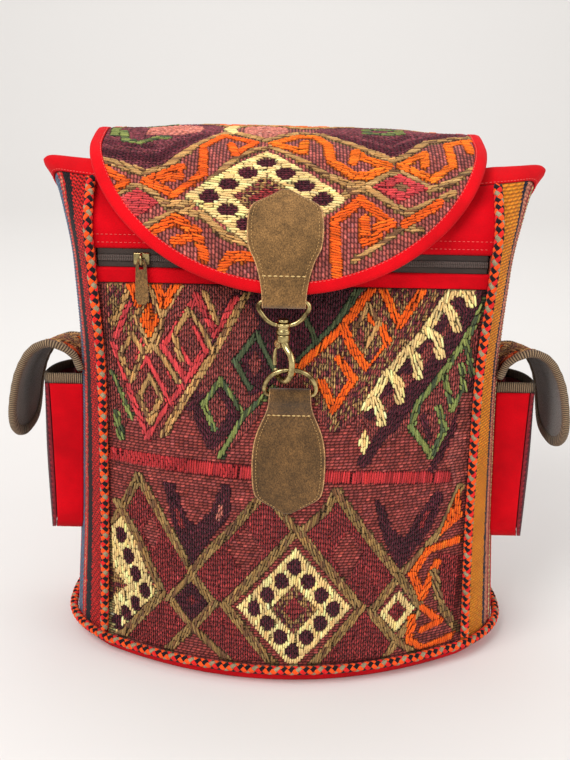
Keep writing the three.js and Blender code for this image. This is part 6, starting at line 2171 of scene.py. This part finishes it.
def pocket_flap_at(u, l, depth):
    """A point of a pocket's flap: u across, l along it from its seam, depth below its face."""
    u, l, depth = np.broadcast_arrays(*(np.asarray(a, float) for a in (u, l, depth)))
    held = np.clip(l, 0, POCKET_FLAP_LONG)
    out, z = (np.interp(held, pocket_length, pocket_line[:, k]) for k in (0, 1))
    slope_x, slope_z = (np.interp(held, pocket_length, pocket_slope[:, k]) for k in (0, 1))
    y = FLAP_MIDDLE_Y + u
    share = smooth_step(out, 0, STRAIGHT_OUT)
    near = side_x_at_y(y, pocket_lean(y, POCKET_SEAM_Z))
    far = side_x_at_y(FLAP_MIDDLE_Y, POCKET_SEAM_Z)
    x = near + (far - near) * share + out + slope_x * (l - held)
    z = pocket_lean(y, z + slope_z * (l - held) - slope_x * depth)
    return np.stack([x + slope_z * depth, y, z], -1)


def pocket_flap_outline(inset, count):
    start = POCKET_FLAP_LONG - POCKET_FLAP_ROUND
    half, reach = POCKET_FLAP_HALF - inset, POCKET_FLAP_ROUND - inset
    straight = np.linspace(0, start, count // 3, endpoint=False)
    angle = np.linspace(0, math.pi, count)
    power = 2 / POCKET_EDGE_POWER
    u = half * np.sign(np.cos(angle)) * np.abs(np.cos(angle)) ** power
    l = start + reach * np.sin(angle) ** power
    u = np.concatenate([np.full(len(straight), half), u, np.full(len(straight), -half)])
    return u, np.concatenate([straight, l, straight[::-1]])


print("pocket flap:", round(POCKET_FLAP_LONG), "mm long")

# %% The drawing on the pocket flap
pocket_drawing = [
    field("tweed", (-60, 150), (-60, 70), (-30, 96), (0, 70), (30, 96), (60, 70), (60, 150)),
    line("orange", 9, (-60, 60), (-30, 88), (0, 60), (30, 88), (60, 60)),
    line("tan", 6, (-60, 72), (-30, 100), (0, 72), (30, 100), (60, 72)),
    line("orange", 8, (-50, 140), (-30, 118), (-10, 140)),
    line("amber", 8, (10, 140), (30, 118), (50, 140)),
    line("tan", 6, (-60, 120), (-30, 108), (0, 124), (30, 108), (60, 120)),
    field("scarlet", *diamond(-30, 56, 14, 16)),
    field("scarlet", *diamond(30, 56, 14, 16)),
    field("cream", *diamond(-30, 56, 6, 8)),
    field("cream", *diamond(30, 56, 6, 8)),
    field("purple", *diamond(0, 34, 16, 18)),
    line("tan", 6, (-60, 20), (-30, 36), (0, 12), (30, 36), (60, 20)),
]
print("pocket motifs:", len(pocket_drawing))

# %% Weave the pocket flap
SMALL_EDGE = 3
SMALL_THICK = 3.4
small_columns, small_rows = 83, 101
small_seen = POCKET_FLAP_HALF - SMALL_EDGE
small_u = np.linspace(-small_seen, small_seen, small_columns)[:, None] + np.zeros((1, small_rows))
small_l = np.linspace(1, POCKET_FLAP_LONG - SMALL_EDGE, small_rows)[None, :] + np.zeros((small_columns, 1))


def small_half_width(l, inset):
    start = POCKET_FLAP_LONG - POCKET_FLAP_ROUND
    share = np.clip((l - start) / (POCKET_FLAP_ROUND - inset), 0, 1)
    return (POCKET_FLAP_HALF - inset) * (1 - share**POCKET_EDGE_POWER) ** (1 / POCKET_EDGE_POWER)


def small_look(l, u):
    dye, raised, lean = weave(u, POCKET_FLAP_LONG - l, "wine", pocket_drawing)
    return dye, raised, -lean


def small_surface(l, u, height):
    room = np.minimum(small_half_width(l, SMALL_EDGE) - np.abs(u), POCKET_FLAP_LONG - SMALL_EDGE - l)
    held = np.clip(room / 6, 0, 1)
    return pocket_flap_at(u, l, 0.9 - 0.5 * held - height * held)


small_pile = ground_relief(small_columns, small_rows, seed=83)
small_tone = ground_tones(small_l, small_u, small_look)
small_points = small_surface(small_l, small_u, 0.7 * small_pile)
pocket_flap = cut_rug("pocket_rug_right", small_points, small_u, small_l, small_half_width, SMALL_EDGE,
                      small_tone, small_pile)
outward(pocket_flap)
pocket_flap.data.materials.append(brown_felt)
apply_modifier(pocket_flap, "SOLIDIFY", thickness=SMALL_THICK * MM, offset=-1, material_offset=1)
pocket_pieces.append((pocket_flap, "kilim_wool", "pocket_flap"))
small_stitch_at = np.arange(8, POCKET_FLAP_LONG - 9, STRAND_PITCH)
small_reach = small_half_width(small_stitch_at, 7.5)
small_strands = strand_runs(small_stitch_at, -small_reach, small_reach, small_look)
for stitches in both_stitches("pocket_stitches_right", small_strands, small_surface):
    pocket_pieces.append((outward(stitches), "kilim_wool", None))

# %% Pocket flap binding
SMALL_COUNT = 160
small_fold = [
    (8.4, -0.1), (7.6, -0.8), (4.5, -1.2), (1.4, -0.8), (0.0, 0.6), (-0.2, 2.0), (0.0, 3.4), (1.4, 4.8),
    (4.5, 5.2), (7.6, 4.9), (8.4, 4.2), (7.6, 3.6), (7.6, 0.6),
]
edge_s = along_lengths(np.stack(pocket_flap_outline(0, SMALL_COUNT), -1))
rings = []
for k, (inset, depth) in enumerate(small_fold):
    u, l = pocket_flap_outline(inset, SMALL_COUNT)
    rib = 0.14 * np.cos(2 * math.pi * edge_s / 2.4) + 0.25 * ripple(edge_s / 13, k / 8, 84)
    rings.append(pocket_flap_at(u, l, depth + rib * (1 if depth < 2 else -1)))
pocket_edge = folded_strip("pocket_edging_right", rings, edge_s, small_fold, brown_ribbon)
pocket_pieces.append((pocket_edge, "brown_ribbon", "pocket_flap_binding"))
print("pocket flap binding:", len(pocket_edge.data.polygons), "faces")


# %% The left pocket is the right one mirrored
def mirrored(piece, name, body="bag"):
    mesh = piece.data.copy()
    mesh.transform(Matrix.Scale(-1, 4, (1, 0, 0)))
    mesh.flip_normals()
    copy = bpy.data.objects.new(name, mesh)
    bpy.context.collection.objects.link(copy)
    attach(copy, body)
    return copy


for piece, slot, node in pocket_pieces:
    other = mirrored(piece, piece.name.replace("_right", "_left"))
    for made, side in ((piece, "right"), (other, "left")):
        stands_for(made, slot, *([f"{node}_{side}"] if node else []))
print("pocket pieces:", 2 * len(pocket_pieces))

# %% [markdown]
# ## Straps on the back
# The back is hidden in the photograph, so it is finished plainly: two padded shoulder straps, each
# with webbing and a brass slide, and a short loop to hang the bag by. The pads are swelled by a
# short cloth simulation, since a stuffed strap bulges between its seams.

# %% Strap pad
STRAP_X = 62
STRAP_HALF = 29
PAD_HALF = 6
PAD_TOP = MOUTH_Z - 30
PAD_START_SHARE = 0.78
PAD_VOXEL = 4
pad_line, _ = smooth_curve([
    (STRAP_X, BACK_Y + 6.4, PAD_TOP), (STRAP_X, BACK_Y + 7.2, PAD_TOP - 12), (STRAP_X + 1, BACK_Y + 20, 350),
    (STRAP_X + 8, BACK_Y + 38, 290), (STRAP_X + 20, BACK_Y + 39, 215), (STRAP_X + 32, BACK_Y + 27, 142)], 70)


def strap_rings(path, section):
    """Rings across a strap; section(share) gives its corners as across and out."""
    along = unit(np.gradient(path, axis=0))
    across = unit(np.array([1.0, 0, 0]) - along * along[:, :1])
    out = np.cross(across, along)
    rings = []
    for k, share in enumerate(np.linspace(0, 1, len(path))):
        corners = np.array(section(share))
        rings.append(path[k] + corners[:, :1] * across[k] + corners[:, 1:] * out[k])
    return np.stack(rings)


def pad_section(share):
    half = STRAP_HALF * (1 - 0.3 * max(0, share - 0.75) / 0.25) - 1
    thick = PAD_HALF * PAD_START_SHARE
    angle = np.linspace(0, 2 * math.pi, 28, endpoint=False)
    wide = np.sign(np.cos(angle)) * np.abs(np.cos(angle)) ** 0.35
    deep = np.sign(np.sin(angle)) * np.abs(np.sin(angle)) ** 0.6
    return np.stack([half * wide, thick * deep], -1)


strap_pad = swept("strap_cushion_right", strap_rings(pad_line, pad_section), brown_webbing)
apply_modifier(strap_pad, "REMESH", mode="VOXEL", voxel_size=PAD_VOXEL * MM)
print("pad:", len(strap_pad.data.vertices), "points before the simulation")

# %% Swell the pad
SWELL_CAP = 4
SWELL_PRESSURE = 4
SWELL_FRAMES = 20
only(strap_pad)
before = np.array([v.co for v in strap_pad.data.vertices])
cloth = strap_pad.modifiers.new("swell", "CLOTH")
cloth.settings.use_pressure = True
cloth.settings.uniform_pressure_force = SWELL_PRESSURE
cloth.settings.effector_weights.gravity = 0
for number in range(1, SWELL_FRAMES + 1):
    bpy.context.scene.frame_set(number)
bpy.ops.object.modifier_apply(modifier="swell")
after = np.array([v.co for v in strap_pad.data.vertices])
move = after - before
far = np.linalg.norm(move, axis=1, keepdims=True)
after = before + move * np.minimum(1, SWELL_CAP * MM / np.maximum(far, 1e-9))
strap_pad.data.vertices.foreach_set("co", after.ravel())
bpy.context.scene.frame_set(1)
apply_modifier(strap_pad, "SUBSURF", levels=1, render_levels=1)
only(strap_pad)
bpy.ops.object.shade_smooth()
strap_other = mirrored(strap_pad, "strap_cushion_left")
for pad, side in ((strap_pad, "right"), (strap_other, "left")):
    stands_for(pad, "strap_cloth", f"strap_pad_{side}")
print("pads:", len(strap_pad.data.polygons), "faces each")

# %% Webbing
WEB_HALF = 14
WEB_THICK = 2.4
SLIDE_SHARE = 0.42
web_start = np.array([STRAP_X + 32, BACK_Y + 27, 142.0])
web_end = np.array([STRAP_X + 52, BACK_Y + WEB_THICK / 2 + 0.7, 30])
web_along = unit(web_end - web_start)
web_line = np.linspace(web_start + 3.5 * web_along, web_end, 90)
web_corners = [
    (WEB_HALF, -0.9), (WEB_HALF, 0.9), (WEB_HALF - 0.5, 1.2), (0, 1.2), (-WEB_HALF + 0.5, 1.2),
    (-WEB_HALF, 0.9), (-WEB_HALF, -0.9), (-WEB_HALF + 0.5, -1.2), (0, -1.2), (WEB_HALF - 0.5, -1.2),
]
web_uv = flat_map(along_lengths(web_line)[:, None], np.array(web_corners)[None, :, 0])
web_rings = strap_rings(web_line, lambda share: web_corners)
strap_web = swept("strap_webbing_right", web_rings, brown_webbing, web_uv)
stands_for(strap_web, "strap_cloth", "strap_web_right")
stands_for(mirrored(strap_web, "strap_webbing_left"), "strap_cloth", "strap_web_left")
print("webbing:", len(strap_web.data.polygons), "faces each")

# %% Slides
slide = block((37, 22, 6.8), (0, 0, 0), 1.6)
cut(slide, block((29, 40, 3.4), (0, 0, 0)))
for slot_y in (-6, 6):
    cut(slide, block((29, 6, 20), (0, slot_y, 0)))
slide_across = unit(np.array([1.0, 0, 0]) - web_along * web_along[0])
slide_out = np.cross(slide_across, web_along)
slide_turn = Matrix((slide_across, web_along, slide_out)).transposed().to_4x4()
slide_at = web_start + (web_end - web_start) * SLIDE_SHARE
slide.data.transform(Matrix.Translation(Vector(slide_at) * MM) @ slide_turn)
slide.name = "brass_slide_right"
finished(slide, "strap_slide_right", "slide_right")
finished(mirrored(slide, "brass_slide_left", "slide_left"), "strap_slide_left", "slide_left")
print("slides:", len(slide.data.polygons), "faces each")

# %% Hanging loop
HAUL_HALF = 24
HAUL_REACH = 30
HAUL_Z = PAD_TOP - 14
haul_angle = np.linspace(0, math.pi, 60)
haul_rings = []
for inset, rise in ((0.3, -10), (0, -9), (0, 9), (0.3, 10), (2.7, 10), (3, 9), (3, -9), (2.7, -10)):
    x = (HAUL_HALF - inset) * np.cos(haul_angle)
    y = BACK_Y + 0.3 + (HAUL_REACH - inset) * np.sin(haul_angle) ** 0.8
    haul_rings.append(np.stack([x, y, np.full_like(x, HAUL_Z + rise)], -1))
haul_rings = np.stack(haul_rings, 1)
haul_uv = flat_map(along_lengths(haul_rings[:, 0])[:, None], haul_rings[..., 2])
haul_strap = swept("haul_strap", haul_rings, brown_webbing, haul_uv)
stands_for(haul_strap, "strap_cloth", "haul_loop")
print("loop:", len(haul_strap.data.polygons), "faces")
